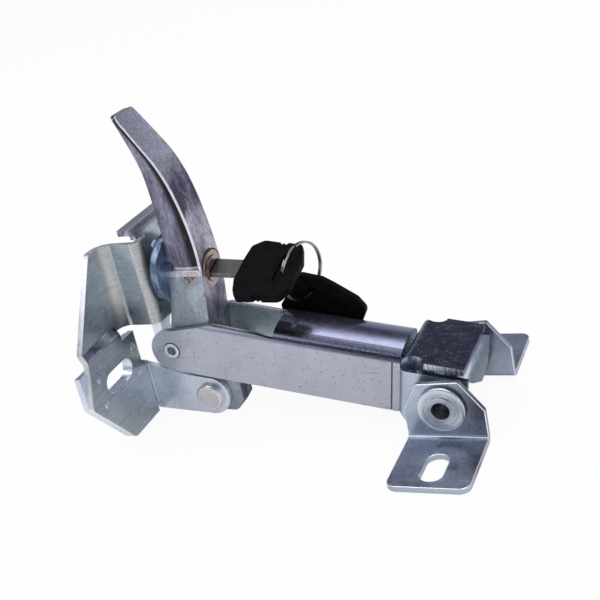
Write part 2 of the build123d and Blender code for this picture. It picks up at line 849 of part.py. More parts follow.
# Yoke: web, two walls and a top flange folded from one sheet
yoke_bend_out = yoke_bend_in + yoke_t
wall_top = yoke_top_z - yoke_bend_out - yoke_bend_gap
with BuildPart() as yoke:
    with BuildSketch(Plane(origin=arm.origin + arm.y_dir * yoke_low_z, x_dir=arm.x_dir, z_dir=arm.y_dir)):
        with BuildLine():
            web_out = FilletPolyline(
                (yoke_end_x, -yoke_half_w),
                (yoke_x, -yoke_half_w),
                (yoke_x, yoke_half_w),
                (yoke_end_x, yoke_half_w),
                radius=yoke_bend_out,
            )
            web_in = FilletPolyline(
                (yoke_end_x, -yoke_in_y),
                (yoke_x + yoke_t, -yoke_in_y),
                (yoke_x + yoke_t, yoke_in_y),
                (yoke_end_x, yoke_in_y),
                radius=yoke_bend_in,
            )
            Line(web_out @ 0, web_in @ 0)
            Line(web_out @ 1, web_in @ 1)
        make_face()
    extrude(amount=wall_top - yoke_low_z)
    # Top flange, bent from the web and wider than it outside the two round reliefs
    with BuildSketch(arm):
        with BuildLine():
            flange_top = FilletPolyline(
                (yoke_x, wall_top),
                (yoke_x, yoke_top_z),
                (yoke_flange_x, yoke_top_z),
                radius=yoke_bend_out,
            )
            flange_low = FilletPolyline(
                (yoke_x + yoke_t, wall_top),
                (yoke_x + yoke_t, yoke_top_z - yoke_t),
                (yoke_flange_x, yoke_top_z - yoke_t),
                radius=yoke_bend_in,
            )
            Line(flange_top @ 0, flange_low @ 0)
            Line(flange_top @ 1, flange_low @ 1)
        make_face()
    extrude(amount=yoke_neck_half_w, both=True)
    with BuildSketch(Plane(origin=arm.origin + arm.y_dir * yoke_top_z, x_dir=arm.x_dir, z_dir=arm.y_dir)):
        with Locations(((yoke_relief_x + yoke_flange_x) / 2, 0)):
            Rectangle(yoke_flange_x - yoke_relief_x, 2 * yoke_flange_half_w)
    extrude(amount=-yoke_t)
    with BuildSketch(Plane(origin=arm.origin + arm.y_dir * yoke_top_z, x_dir=arm.x_dir, z_dir=arm.y_dir)):
        with Locations((yoke_relief_x, yoke_flange_half_w), (yoke_relief_x, -yoke_flange_half_w)):
            Circle(yoke_relief_r)
    extrude(amount=-yoke_t, mode=Mode.SUBTRACT)
    # Lower corners of the walls
    with BuildSketch(arm):
        with BuildLine():
            Polyline(
                (yoke_x - 1, yoke_low_z - 1),
                (yoke_x - 1, yoke_low_z + yoke_corner),
                (yoke_x, yoke_low_z + yoke_corner),
                (yoke_x + yoke_corner, yoke_low_z),
                (yoke_x + yoke_corner, yoke_low_z - 1),
                close=True,
            )
        make_face()
        with BuildLine():
            Polyline(
                (yoke_end_x + 1, yoke_low_z - 1),
                (yoke_end_x - yoke_corner, yoke_low_z - 1),
                (yoke_end_x - yoke_corner, yoke_low_z),
                (yoke_end_x - yoke_corner / 3, yoke_low_z + yoke_corner / 3),
                (yoke_end_x, yoke_low_z + 2 * yoke_corner),
                (yoke_end_x + 1, yoke_low_z + 2 * yoke_corner),
                close=True,
            )
        make_face()
    extrude(amount=yoke_half_w, both=True, mode=Mode.SUBTRACT)
    # Holes for the rod and the cross tube
    with BuildSketch(arm_plane(yoke_x - 1)):
        with Locations((0, rod_z)):
            Circle(rod_r + bore_gap)
    extrude(amount=yoke_t + 2, mode=Mode.SUBTRACT)
    with BuildSketch(arm):
        with Locations((yoke_pivot_x, rod_z)):
            Circle(tube_r + bore_gap)
    extrude(amount=yoke_half_w, both=True, mode=Mode.SUBTRACT)
yoke.part.label = "yoke"

# Cross tube through the yoke, its spacers and the flat heads outside the catches
cross = Plane(origin=(pivot_x, 0, pivot_z), x_dir=(1, 0, 0), z_dir=(0, -1, 0))
head_out_y = catch_out_y + face_gap + pivot_head_t
with BuildPart() as cross_tube:
    with BuildSketch(cross):
        Circle(tube_r)
    extrude(amount=head_out_y, both=True)
    for sign in (-1, 1):
        with BuildSketch(cross.offset(sign * head_out_y)):
            Circle(tube_flare_r)
        extrude(amount=sign * tube_flare_h)
    with BuildSketch(cross):
        Circle(tube_bore_r)
    extrude(amount=head_out_y + tube_flare_h, both=True, mode=Mode.SUBTRACT)
cross_tube.part.label = "cross_tube"

with BuildPart() as near_spacer:
    with BuildSketch(cross.offset(yoke_half_w)):
        Circle(spacer_r)
        Circle(tube_r + bore_gap, mode=Mode.SUBTRACT)
    extrude(amount=spacer_t)
near_spacer.part.label = "near_spacer"

with BuildPart() as far_spacer:
    mirror(near_spacer.part, about=Plane.XZ)
far_spacer.part.label = "far_spacer"

with BuildPart() as near_pivot_head:
    with BuildSketch(cross.offset(catch_out_y + face_gap)):
        Circle(pivot_head_r)
        Circle(tube_r + bore_gap, mode=Mode.SUBTRACT)
    extrude(amount=pivot_head_t)
    rims = near_pivot_head.edges().filter_by(GeomType.CIRCLE).sort_by(Axis.Y)
    chamfer([e for e in rims if abs(e.radius - pivot_head_r) < 0.01][0], 0.5)
near_pivot_head.part.label = "near_pivot_head"

with BuildPart() as far_pivot_head:
    mirror(near_pivot_head.part, about=Plane.XZ)
far_pivot_head.part.label = "far_pivot_head"

# Catch brackets: a wall on the cross tube and a slotted foot bent outwards
with BuildPart() as near_catch:
    with BuildSketch(Plane.YZ.offset(pivot_x - catch_left)):
        with BuildLine():
            inner_face = FilletPolyline(
                (-catch_in_y, pivot_z + catch_top),
                (-catch_in_y, ground_z),
                (-catch_foot_y, ground_z),
                radius=catch_bend_in + catch_t,
            )
            outer_face = FilletPolyline(
                (-catch_out_y, pivot_z + catch_top),
                (-catch_out_y, ground_z + catch_t),
                (-catch_foot_y, ground_z + catch_t),
                radius=catch_bend_in,
            )
            Line(inner_face @ 0, outer_face @ 0)
            Line(inner_face @ 1, outer_face @ 1)
        make_face()
    extrude(amount=catch_left + catch_right)
    with BuildSketch(cross) as wall_shape:
        with BuildLine():
            Polyline(
                (-catch_left, ground_z - pivot_z),
                (-catch_left, catch_shoulder),
                (-catch_left + catch_slant_x, catch_top - 1.0),
                (catch_flat_x, catch_top),
                (catch_right, catch_shoulder),
                (catch_right, ground_z - pivot_z),
                close=True,
            )
        make_face()
        fillet(wall_shape.vertices().filter_by_position(Axis.Y, catch_shoulder - 0.1, catch_top + 0.1), 1.5)
        Circle(tube_r + bore_gap, mode=Mode.SUBTRACT)
    extrude(amount=catch_foot_y, mode=Mode.INTERSECT)
    with BuildSketch(Plane.XY.offset(ground_z)) as slot:
        with Locations((pivot_x - catch_left + (catch_left + catch_right) / 2, -catch_slot_y)):
            SlotOverall(catch_slot_len, catch_slot_w, rotation=90)
    extrude(amount=catch_t, mode=Mode.SUBTRACT)
    uprights = near_catch.edges().filter_by(Axis.Z)
    fillet(uprights.filter_by_position(Axis.Y, -catch_foot_y - 0.1, -catch_foot_y + 0.1), catch_corner_r)
near_catch.part.label = "near_catch_bracket"

with BuildPart() as far_catch:
    mirror(near_catch.part, about=Plane.XZ)
far_catch.part.label = "far_catch_bracket"

# Written pieces
export_step(base_plate.part, "parts/base_plate.step")
export_step(near_ear.part, "parts/near_ear_bracket.step")
export_step(far_ear.part, "parts/far_ear_bracket.step")
export_step(handle_pin.part, "parts/handle_pin.step")
export_step(handle.part, "parts/handle.step")
export_step(lock_barrel.part, "parts/lock_barrel.step")
export_step(lock_plug.part, "parts/lock_plug.step")
export_step(lock_cam.part, "parts/lock_cam.step")
export_step(cam_screw.part, "parts/cam_screw.step")
export_step(key_blade.part, "parts/key_blade.step")
export_step(key_head.part, "parts/key_head.step")
export_step(spare_key_blade.part, "parts/spare_key_blade.step")
export_step(spare_key_head.part, "parts/spare_key_head.step")
export_step(split_ring.part, "parts/split_ring.step")
export_step(arm_housing.part, "parts/arm_housing.step")
export_step(arm_rivet.part, "parts/arm_rivet.step")
export_step(tension_rod.part, "parts/tension_rod.step")
export_step(rod_nut.part, "parts/rod_nut.step")
export_step(spring_seat.part, "parts/spring_seat.step")
export_step(tension_spring.part, "parts/tension_spring.step")
export_step(yoke.part, "parts/yoke.step")
export_step(yoke_nut.part, "parts/yoke_nut.step")
export_step(cross_tube.part, "parts/cross_tube.step")
export_step(near_spacer.part, "parts/near_spacer.step")
export_step(far_spacer.part, "parts/far_spacer.step")
export_step(near_pivot_head.part, "parts/near_pivot_head.step")
export_step(far_pivot_head.part, "parts/far_pivot_head.step")
export_step(near_catch.part, "parts/near_catch_bracket.step")
export_step(far_catch.part, "parts/far_catch_bracket.step")
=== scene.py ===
"""Blender scene of a keyed hood latch: plated pressings, cast lever, lock, keys and studio."""

from __future__ import annotations

import json
import logging
import math
from dataclasses import dataclass, field
from enum import Enum

import bmesh
import bpy
from mathutils import Matrix, Vector

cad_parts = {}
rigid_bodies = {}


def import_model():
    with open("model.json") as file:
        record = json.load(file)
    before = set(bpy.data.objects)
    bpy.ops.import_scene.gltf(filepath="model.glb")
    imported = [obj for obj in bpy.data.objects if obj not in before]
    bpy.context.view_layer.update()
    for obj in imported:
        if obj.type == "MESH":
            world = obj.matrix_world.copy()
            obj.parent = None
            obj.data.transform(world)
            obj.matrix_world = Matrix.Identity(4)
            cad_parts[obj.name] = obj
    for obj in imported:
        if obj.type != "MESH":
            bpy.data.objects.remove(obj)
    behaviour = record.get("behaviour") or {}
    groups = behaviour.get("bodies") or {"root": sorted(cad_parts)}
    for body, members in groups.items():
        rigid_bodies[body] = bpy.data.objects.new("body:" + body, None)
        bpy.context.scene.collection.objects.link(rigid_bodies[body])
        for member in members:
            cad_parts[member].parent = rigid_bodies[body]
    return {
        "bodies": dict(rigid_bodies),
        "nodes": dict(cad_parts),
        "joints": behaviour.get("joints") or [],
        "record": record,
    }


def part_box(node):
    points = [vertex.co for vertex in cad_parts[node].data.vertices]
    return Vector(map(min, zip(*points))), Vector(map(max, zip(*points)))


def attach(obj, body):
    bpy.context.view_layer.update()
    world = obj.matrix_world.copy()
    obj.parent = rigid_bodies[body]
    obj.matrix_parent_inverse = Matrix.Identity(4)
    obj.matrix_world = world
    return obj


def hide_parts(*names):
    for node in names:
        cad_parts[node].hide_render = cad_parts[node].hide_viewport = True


LOG = logging.getLogger("hood_latch")
MM = 0.001
BEND_MASK = "bend"
# Mesh value marking dark seams, painted shadow in the lever's groove and painted dark reflection on
# the arm's roof
SEAM_AND_SHADE_MASK = "stain_and_shade"


class Grain(Enum):
    """Direction in which a surface was drawn or brushed."""

    NONE = "none"
    ROUND_Z = "round z"
    RIBBED_X = "ribbed x"


@dataclass(frozen=True)
class Frame:
    """A right-handed frame in millimetres, x along the piece, y across and z up.

    Args:
        origin: The frame's origin.
        x: Unit vector along the piece.
        y: Unit vector across the piece.
        z: Unit vector up from the piece.
    """

    origin: Vector
    x: Vector
    y: Vector
    z: Vector

    def at(self, along: float, across: float, up: float) -> Vector:
        """Place in the model of a point given in this frame."""
        return self.origin + self.x * along + self.y * across + self.z * up


def tilted_frame(origin: tuple[float, float, float], degrees: float) -> Frame:
    """Frame in the latch's middle plane that dips towards +X.

    Args:
        origin: The origin in millimetres.
        degrees: How far its x axis dips below +X.

    Returns:
        The frame.
    """
    c, s = math.cos(math.radians(degrees)), math.sin(math.radians(degrees))
    return Frame(Vector(origin), Vector((c, 0, -s)), Vector((0, 1, 0)), Vector((s, 0, c)))


PIN = tilted_frame((33.8, 0.0, -23.1), 0.0)
ARM = tilted_frame((23.6, 0.0, 3.1), 11.0)
LOCK = tilted_frame((46.4, 0.0, 36.5), 5.0)
CROSS = tilted_frame((147.808, 0.0, -16.154), 0.0)
GROUND_Z = -32.3
KEY_ROLL = 16.0
JOINED = 0.0005
SHADED = (0.09, 0.09, 0.12)
PIT_DARK = (0.05, 0.05, 0.07)
# Near-black painted shadow for the groove behind the lever's flange
GROOVE_PAINTED_SHADE = (0.025, 0.025, 0.03)
RUST = (0.20, 0.07, 0.035)
VIOLET = (0.30, 0.27, 0.48)


def math_node(
    tree: bpy.types.NodeTree, kind: str, first: object, second: object
) -> bpy.types.NodeSocket:
    """Adds one Math node to a tree.

    Args:
        tree: The tree.
        kind: The operation, such as ADD or MULTIPLY.
        first: A socket or a number.
        second: A socket or a number.

    Returns:
        The node's output.
    """
    node = tree.nodes.new("ShaderNodeMath")
    node.operation = kind
    for value, socket in zip((first, second), node.inputs):
        if isinstance(value, bpy.types.NodeSocket):
            tree.links.new(value, socket)
        else:
            socket.default_value = value
    return node.outputs[0]


class Nodes:
    """Short hand for laying out the nodes of a material in millimetres."""

    def __init__(self, name: str) -> None:
        """Starts a material with one Principled shader.

        Args:
            name: Name of the material.
        """
        self.material = bpy.data.materials.new(name)
        self.material.use_nodes = True
        self.tree = self.material.node_tree
        self.shader = self.tree.nodes["Principled BSDF"]
        self.place = self.add("ShaderNodeTexCoord").outputs["Object"]

    def add(self, kind: str) -> bpy.types.Node:
        """Adds one node of a kind."""
        return self.tree.nodes.new(kind)

    def join(self, source: bpy.types.NodeSocket, target: bpy.types.NodeSocket) -> None:
        """Links an output to an input."""
        self.tree.links.new(source, target)

    def feed(self, value: object, socket: bpy.types.NodeSocket) -> None:
        """Links a socket, or sets a plain number or colour.

        Args:
            value: A socket, a number or a colour.
            socket: The input that it goes to.
        """
        if isinstance(value, bpy.types.NodeSocket):
            self.join(value, socket)
        else:
            socket.default_value = value

    def stretched(self, stretch: tuple[float, float, float]) -> bpy.types.NodeSocket:
        """Coordinates in millimetres, scaled along each axis.

        Args:
            stretch: Scale along each axis.

        Returns:
            The coordinates.
        """
        mapping = self.add("ShaderNodeMapping")
        self.join(self.place, mapping.inputs["Vector"])
        mapping.inputs["Scale"].default_value = [1000 * part for part in stretch]
        return mapping.outputs["Vector"]

    def grain(
        self,
        size: float,
        detail: float = 3.0,
        roughness: float = 0.55,
        stretch: tuple[float, float, float] = (1, 1, 1),
        distortion: float = 0.0,
    ) -> bpy.types.NodeSocket:
        """Noise whose features are about size millimetres across.

        Args:
            size: Feature size in millimetres.
            detail: Octaves of finer detail.
            roughness: Weight of the finer octaves.
            stretch: Scale along each axis, below 1 to draw features out.
            distortion: How much the noise is warped.

        Returns:
            A value of about 0.2 to 0.8.
        """
        node = self.add("ShaderNodeTexNoise")
        self.join(self.stretched(stretch), node.inputs["Vector"])
        node.inputs["Scale"].default_value = 1 / size
        node.inputs["Detail"].default_value = detail
        node.inputs["Roughness"].default_value = roughness
        node.inputs["Distortion"].default_value = distortion
        return node.outputs["Fac"]

    def cells(
        self, size: float, stretch: tuple[float, float, float] = (1, 1, 1)
    ) -> bpy.types.NodeSocket:
        """Distance to the nearest of many scattered points, in cell sizes.

        Args:
            size: Distance between the points in millimetres.
            stretch: Scale along each axis.

        Returns:
            The distance.
        """
        node = self.add("ShaderNodeTexVoronoi")
        self.join(self.stretched(stretch), node.inputs["Vector"])
        node.inputs["Scale"].default_value = 1 / size
        return node.outputs["Distance"]

    def span(
        self, value: object, low: float, high: float, out_low: float = 0.0, out_high: float = 1.0
    ) -> bpy.types.NodeSocket:
        """Maps a range of values to another and clamps it.

        Args:
            value: A socket or a number.
            low: Start of the range.
            high: End of the range.
            out_low: What its start becomes.
            out_high: What its end becomes.

        Returns:
            The mapped value.
        """
        node = self.add("ShaderNodeMapRange")
        self.feed(value, node.inputs["Value"])
        node.inputs["From Min"].default_value = low
        node.inputs["From Max"].default_value = high
        node.inputs["To Min"].default_value = out_low
        node.inputs["To Max"].default_value = out_high
        return node.outputs["Result"]

    def calc(self, kind: str, first: object, second: object) -> bpy.types.NodeSocket:
        """One Math node, such as ADD or MULTIPLY."""
        return math_node(self.tree, kind, first, second)

    def blend(self, share: object, first: object, second: object) -> bpy.types.NodeSocket:
        """Mixes two colours.

        Args:
            share: How much of the second colour shows, from 0 to 1.
            first: A socket or a colour.
            second: A socket or a colour.

        Returns:
            The mixed colour.
        """
        node = self.add("ShaderNodeMix")
        node.data_type = "RGBA"
        self.feed(share, node.inputs[0])
        for value, socket in ((first, node.inputs[6]), (second, node.inputs[7])):
            self.feed(value if isinstance(value, bpy.types.NodeSocket) else (*value, 1.0), socket)
        return node.outputs[2]

    def mask(self, name: str) -> bpy.types.NodeSocket:
        """Value stored in the mesh under a name, 0 where there is none.

        Args:
            name: Name of the value.

        Returns:
            The value.
        """
        node = self.add("ShaderNodeAttribute")
        node.attribute_name = name
        return node.outputs["Fac"]

    def profile(self, axis: int, stops: tuple[tuple[float, float], ...]) -> bpy.types.NodeSocket:
        """Value that runs through stops along an axis, each a place in millimetres and a level.

        Args:
            axis: 0, 1 or 2 for x, y or z.
            stops: Places in rising order, each with its level.

        Returns:
            The level.
        """
        split = self.add("ShaderNodeSeparateXYZ")
        self.join(self.stretched((1, 1, 1)), split.inputs[0])
        low, high = stops[0][0], stops[-1][0]
        ramp = self.add("ShaderNodeValToRGB")
        elements = ramp.color_ramp.elements
        for place, _ in stops[1:-1]:
            elements.new((place - low) / (high - low))
        for element, (_, level) in zip(elements, stops):
            element.color = (level, level, level, 1)
        self.join(self.span(split.outputs[axis], low, high), ramp.inputs["Fac"])
        return ramp.outputs["Color"]

    def near(self, place: Vector, reach: float) -> bpy.types.NodeSocket:
        """1 at a place in millimetres, falling to 0 at a distance.

        Args:
            place: The place in millimetres.
            reach: The distance in millimetres.

        Returns:
            The value.
        """
        node = self.add("ShaderNodeVectorMath")
        node.operation = "DISTANCE"
        self.join(self.stretched((1, 1, 1)), node.inputs[0])
        node.inputs[1].default_value = place
        return self.span(node.outputs["Value"], 0.0, reach, 1.0, 0.0)

    def relief(
        self, height: object, depth: float, strength: float = 1.0, under: object = None
    ) -> bpy.types.NodeSocket:
        """Bump from a height, depth in millimetres.

        Args:
            height: A socket with the height.
            depth: Depth in millimetres.
            strength: Share of the relief that shows.
            under: The normal of a relief that lies under it.

        Returns:
            The normal.
        """
        node = self.add("ShaderNodeBump")
        node.inputs["Strength"].default_value = strength
        node.inputs["Distance"].default_value = depth * MM
        self.feed(height, node.inputs["Height"])
        if under is not None:
            self.join(under, node.inputs["Normal"])
        return node.outputs["Normal"]


@dataclass(frozen=True)
class Finish:
    """A surface finish that makes its material once.

    Args:
        name: Name of the material.
    """

    name: str

    def material(self) -> bpy.types.Material:
        """The finish's material, made on first use."""
        found = bpy.data.materials.get(self.name)
        return found if found else self.make()

    def make(self) -> bpy.types.Material:
        """Builds the material."""
        raise NotImplementedError


@dataclass(frozen=True)
class ZincPlate(Finish):
    """Blue-white zinc on steel, with cloudy tint, specks, dents and scratches.

    Args:
        pale: Colour of the clean plating.
        shade: Colour of the darker clouds.
        clouds: How strongly the clouds show.
        cloud_size: Size of a cloud in millimetres.
        tint: Iridescent tint laid over it.
        tinting: How strongly the tint shows.
        bend_dull_and_highlight: Colour of the bands where the sheet was bent: dull worn plating,
            lightened as a painted highlight.
        seam_and_shade: Colour of the marked dark seams, and of the painted dark reflection marked
            with them.
        rough: Roughness of the clean plating.
        spread: How much the roughness varies.
        specks: Share of the surface that specks cover, from 0 to 1.
        speck: Colour of the specks.
        scratches: Strength of the drawn lines.
        drawn: Direction of the drawn lines.
        dents: Depth of the soft waviness in millimetres.
        metal: Metallic share, lowered where the plating is painted lighter.
        pits: Strength of the scattered dark pits.
        shadows: Places of darker patches in millimetres, with their reach.
    """

    pale: tuple[float, float, float] = (0.56, 0.60, 0.66)
    shade: tuple[float, float, float] = (0.42, 0.47, 0.53)
    clouds: float = 0.6
    cloud_size: float = 19.0
    tint: tuple[float, float, float] = (0.47, 0.46, 0.62)
    tinting: float = 0.35
    bend_dull_and_highlight: tuple[float, float, float] = (0.50, 0.49, 0.455)
    seam_and_shade: tuple[float, float, float] = (0.05, 0.05, 0.065)
    rough: float = 0.25
    spread: float = 0.10
    specks: float = 0.25
    speck: tuple[float, float, float] = (0.07, 0.07, 0.09)
    scratches: float = 0.3
    drawn: Grain = Grain.NONE
    dents: float = 0.03
    metal: float = 0.94
    pits: float = 0.0
    shadows: tuple[tuple[float, float, float, float], ...] = ()

    def make(self) -> bpy.types.Material:
        """Builds the plated material.

        Returns:
            The material.
        """
        n = Nodes(self.name)
        cloud = n.span(n.grain(self.cloud_size, 4, 0.6), 0.38, 0.64, 0.0, self.clouds)
        colour = n.blend(cloud, self.pale, self.shade)
        drift = n.span(n.grain(31, 2, 0.5, (1, 0.7, 1.2), 0.6), 0.45, 0.7, 0.0, self.tinting)
        colour = n.blend(drift, colour, self.tint)
        # Bends take a lighter, dappled colour: dull worn plating and a painted highlight.
        bend = n.mask(BEND_MASK)
        dapple = n.span(n.grain(0.8, 4, 0.75), 0.36, 0.64, 0.25, 1.0)
        colour = n.blend(n.calc("MULTIPLY", bend, dapple), colour, self.bend_dull_and_highlight)
        fine = n.grain(0.42, 3, 0.7)
        patch = n.span(n.grain(5, 3, 0.6), 0.42, 0.62, 0.25, 1.0)
        dots = n.calc("MULTIPLY", n.span(fine, 0.64 - 0.07 * self.specks, 0.70), patch)
        colour = n.blend(n.calc("MULTIPLY", dots, min(1.0, 2.4 * self.specks)), colour, self.speck)
        lines = self.lines(n)
        dull = tuple(0.45 * part for part in self.shade)
        colour = n.blend(n.calc("MULTIPLY", lines, min(1.0, 0.5 * self.scratches)), colour, dull)
        if self.pits > 0:
            colour = n.blend(n.span(n.cells(2.1), 0.09, 0.15, self.pits, 0.0), colour, self.speck)
        for x, y, z, reach in self.shadows:
            colour = n.blend(
                n.calc("MULTIPLY", n.near(Vector((x, y, z)), reach), 1.1), colour, SHADED
            )
        # Marked places darken: dark seams, and painted dark reflection along the arm's roof.
        marked = n.mask(SEAM_AND_SHADE_MASK)
        seam_and_shade_share = n.calc("MULTIPLY", marked, n.span(n.grain(0.55, 4, 0.75), 0.33, 0.60, 1.0, 0.5))
        colour = n.blend(seam_and_shade_share, colour, self.seam_and_shade)
        n.feed(colour, n.shader.inputs["Base Color"])
        wander = n.span(
            n.grain(3.6, 4, 0.6), 0.3, 0.7, self.rough - self.spread / 2, self.rough + self.spread
        )
        rough = n.calc("ADD", wander, n.calc("MULTIPLY", bend, 0.20))
        n.feed(n.calc("ADD", rough, n.calc("MULTIPLY", dots, 0.25)), n.shader.inputs["Roughness"])
        n.shader.inputs["Metallic"].default_value = self.metal
        soft = n.relief(n.grain(7, 2, 0.5), self.dents, 0.5)
        surface = n.relief(
            n.calc("ADD", fine, n.calc("MULTIPLY", lines, -self.scratches)), 0.010, 0.5, soft
        )
        n.join(surface, n.shader.inputs["Normal"])
        return n.material

    def lines(self, n: Nodes) -> bpy.types.NodeSocket:
        """Thin drawn lines, or sparse stray scratches where it wasn't drawn.

        Args:
            n: The nodes of the material.

        Returns:
            1 on a line and 0 beside it.
        """
        if self.drawn is Grain.NONE:
            first = n.span(n.grain(1.1, 2, 0.5, (0.06, 1, 1.3), 0.4), 0.66, 0.70)
            second = n.span(n.grain(0.8, 2, 0.5, (1, 0.9, 0.07), 0.5), 0.68, 0.72)
            return n.calc("MAXIMUM", first, second)
        stretch = {
            Grain.ROUND_Z: (0.04, 0.04, 1),
            Grain.RIBBED_X: (1, 0.02, 0.02),
        }
        return n.span(n.grain(0.55, 4, 0.7, stretch[self.drawn]), 0.46, 0.64)


@dataclass(frozen=True)
class CastPlate(Finish):
    """Plated casting, brushed along its length, pitted and stained.

    Args:
        light: Colour of the brushed metal.
        dark: Colour of the dull cast skin.
        rough: Roughness of the brushed metal.
        stains: Places of rust stains in millimetres, with their reach.
        height_light_and_shade: Heights in millimetres, each with how dark the painted light and
            shade make the skin there, 0.5 for the mean.
    """

    light: tuple[float, float, float] = (0.62, 0.62, 0.68)
    dark: tuple[float, float, float] = (0.27, 0.27, 0.33)
    rough: float = 0.36
    stains: tuple[tuple[float, float, float, float], ...] = ()
    height_light_and_shade: tuple[tuple[float, float], ...] = ((0.0, 0.5), (1.0, 0.5))

    def make(self) -> bpy.types.Material:
        """Builds the cast material.

        Returns:
            The material.
        """
        n = Nodes(self.name)
        cloud = n.span(n.grain(11, 5, 0.68, (1, 1, 0.5), 0.5), 0.38, 0.64)
        streak = n.span(n.grain(0.6, 4, 0.72, (1, 1, 0.16)), 0.36, 0.66)
        share = n.calc("ADD", n.calc("MULTIPLY", cloud, 0.62), n.calc("MULTIPLY", streak, 0.38))
        # Painted light and shade, lighter and darker by height.
        height_shading = n.span(n.profile(2, self.height_light_and_shade), 0.0, 1.0, -0.75, 0.75)
        share = n.span(n.calc("ADD", share, height_shading), 0.0, 1.0)
        colour = n.blend(share, self.light, self.dark)
        violet = tuple(0.55 * a + 0.45 * b for a, b in zip(self.light, VIOLET))
        colour = n.blend(n.span(n.grain(6, 3, 0.6), 0.5, 0.72, 0.0, 0.5), colour, violet)
        mottle = n.span(n.grain(1.1, 5, 0.8, (1, 1, 0.55)), 0.42, 0.60)
        colour = n.blend(n.calc("MULTIPLY", mottle, 0.42), colour, self.dark)
        pits = n.span(n.grain(0.5, 3, 0.75), 0.59, 0.66)
        colour = n.blend(n.calc("MULTIPLY", pits, 0.8), colour, PIT_DARK)
        # The marked groove behind the flange takes a painted shadow.
        colour = n.blend(n.calc("MULTIPLY", n.mask(SEAM_AND_SHADE_MASK), 0.95), colour, GROOVE_PAINTED_SHADE)
        for x, y, z, reach in self.stains:
            spot = n.calc(
                "MULTIPLY",
                n.near(Vector((x, y, z)), reach),
                n.span(n.grain(0.9, 4, 0.7), 0.42, 0.56),
            )
            colour = n.blend(n.span(spot, 0.25, 0.6), colour, RUST)
        n.feed(colour, n.shader.inputs["Base Color"])
        n.feed(
            n.span(share, 0.2, 0.8, self.rough - 0.06, self.rough + 0.16),
            n.shader.inputs["Roughness"],
        )
        n.shader.inputs["Metallic"].default_value = 0.93
        soft = n.relief(n.grain(3.5, 4, 0.6), 0.06, 0.6)
        surface = n.relief(
            n.calc("SUBTRACT", n.calc("MULTIPLY", streak, -0.5), pits), 0.03, 0.7, soft
        )
        n.join(surface, n.shader.inputs["Normal"])
        return n.material


@dataclass(frozen=True)
class TurnedMetal(Finish):
    """Plain machined or drawn metal for small pieces.

    Args:
        colour: Colour of the metal.
        stain_and_shade: Colour of its darker patches.
        rough: Roughness.
        metal: Metallic share.
    """

    colour: tuple[float, float, float] = (0.7, 0.7, 0.7)
    stain_and_shade: tuple[float, float, float] = (0.45, 0.44, 0.44)
    rough: float = 0.28
    metal: float = 1.0

    def make(self) -> bpy.types.Material:
        """Builds the machined material.

        Returns:
            The material.
        """
        n = Nodes(self.name)
        patch = n.span(n.grain(3.5, 4, 0.65), 0.42, 0.66)
        fine = n.span(n.grain(0.28, 3, 0.7), 0.35, 0.68)
        share = n.calc("ADD", n.calc("MULTIPLY", patch, 0.6), n.calc("MULTIPLY", fine, 0.3))
        n.feed(n.blend(share, self.colour, self.stain_and_shade), n.shader.inputs["Base Color"])
        n.feed(
            n.span(share, 0.1, 0.9, self.rough - 0.05, self.rough + 0.14),
            n.shader.inputs["Roughness"],
        )
        n.shader.inputs["Metallic"].default_value = self.metal
        n.join(n.relief(fine, 0.012, 0.5), n.shader.inputs["Normal"])
        return n.material


@dataclass(frozen=True)
class MouldedPlastic(Finish):
    """Black moulded plastic with a fine spark-eroded texture.

    Args:
        colour: Colour of the plastic.
        rough: Roughness.
    """

    colour: tuple[float, float, float] = (0.003, 0.003, 0.0033)
    rough: float = 0.46

    def make(self) -> bpy.types.Material:
        """Builds the plastic material.

        Returns:
            The material.
        """
        n = Nodes(self.name)
        dust = n.span(n.grain(2.6, 4, 0.65), 0.45, 0.75)
        grey = tuple(part * 1.9 + 0.0012 for part in self.colour)
        n.feed(n.blend(dust, self.colour, grey), n.shader.inputs["Base Color"])
        n.feed(
            n.span(n.grain(1.5, 3, 0.6), 0.3, 0.7, self.rough - 0.05, self.rough + 0.1),
            n.shader.inputs["Roughness"],
        )
        n.shader.inputs["Specular IOR Level"].default_value = 0.05
        n.join(n.relief(n.grain(0.22, 2, 0.6), 0.015, 0.5), n.shader.inputs["Normal"])
        return n.material


# Its bend colour is partly a painted highlight, and its shadows are painted shade.
BASE_ZINC = ZincPlate(
    "base_zinc",
    pale=(0.54, 0.60, 0.645),
    shade=(0.37, 0.43, 0.465),
    tint=(0.45, 0.46, 0.54),
    bend_dull_and_highlight=(0.66, 0.64, 0.60),
    rough=0.27,
    specks=0.12,
    scratches=0.85,
    drawn=Grain.ROUND_Z,
    shadows=((5.5, -13.5, 17.0, 15.0), (5.5, 13.5, 17.0, 15.0), (10.0, -4.0, 70.0, 17.0)),
)
# Polished sloped faces: strong bright and dark patches paint the reflections they show.
POLISHED_REFLECTION_ZINC = ZincPlate(
    "polished_painted_reflection",
    pale=(0.95, 0.95, 1.0),
    shade=(0.10, 0.10, 0.14),
    clouds=1.0,
    cloud_size=7.0,
    rough=0.15,
    specks=0.6,
    scratches=0.2,
)
EAR_ZINC = ZincPlate(
    "ear_zinc",
    pale=(0.85, 0.90, 0.99),
    shade=(0.56, 0.62, 0.73),
    clouds=0.7,
    cloud_size=26.0,
    specks=0.06,
    scratches=0.1,
)
ARM_ZINC = ZincPlate(
    "arm_zinc",
    pale=(0.52, 0.535, 0.60),
    shade=(0.44, 0.46, 0.53),
    tint=(0.48, 0.475, 0.58),
    rough=0.28,
    specks=0.85,
    scratches=0.8,
    pits=0.85,
)
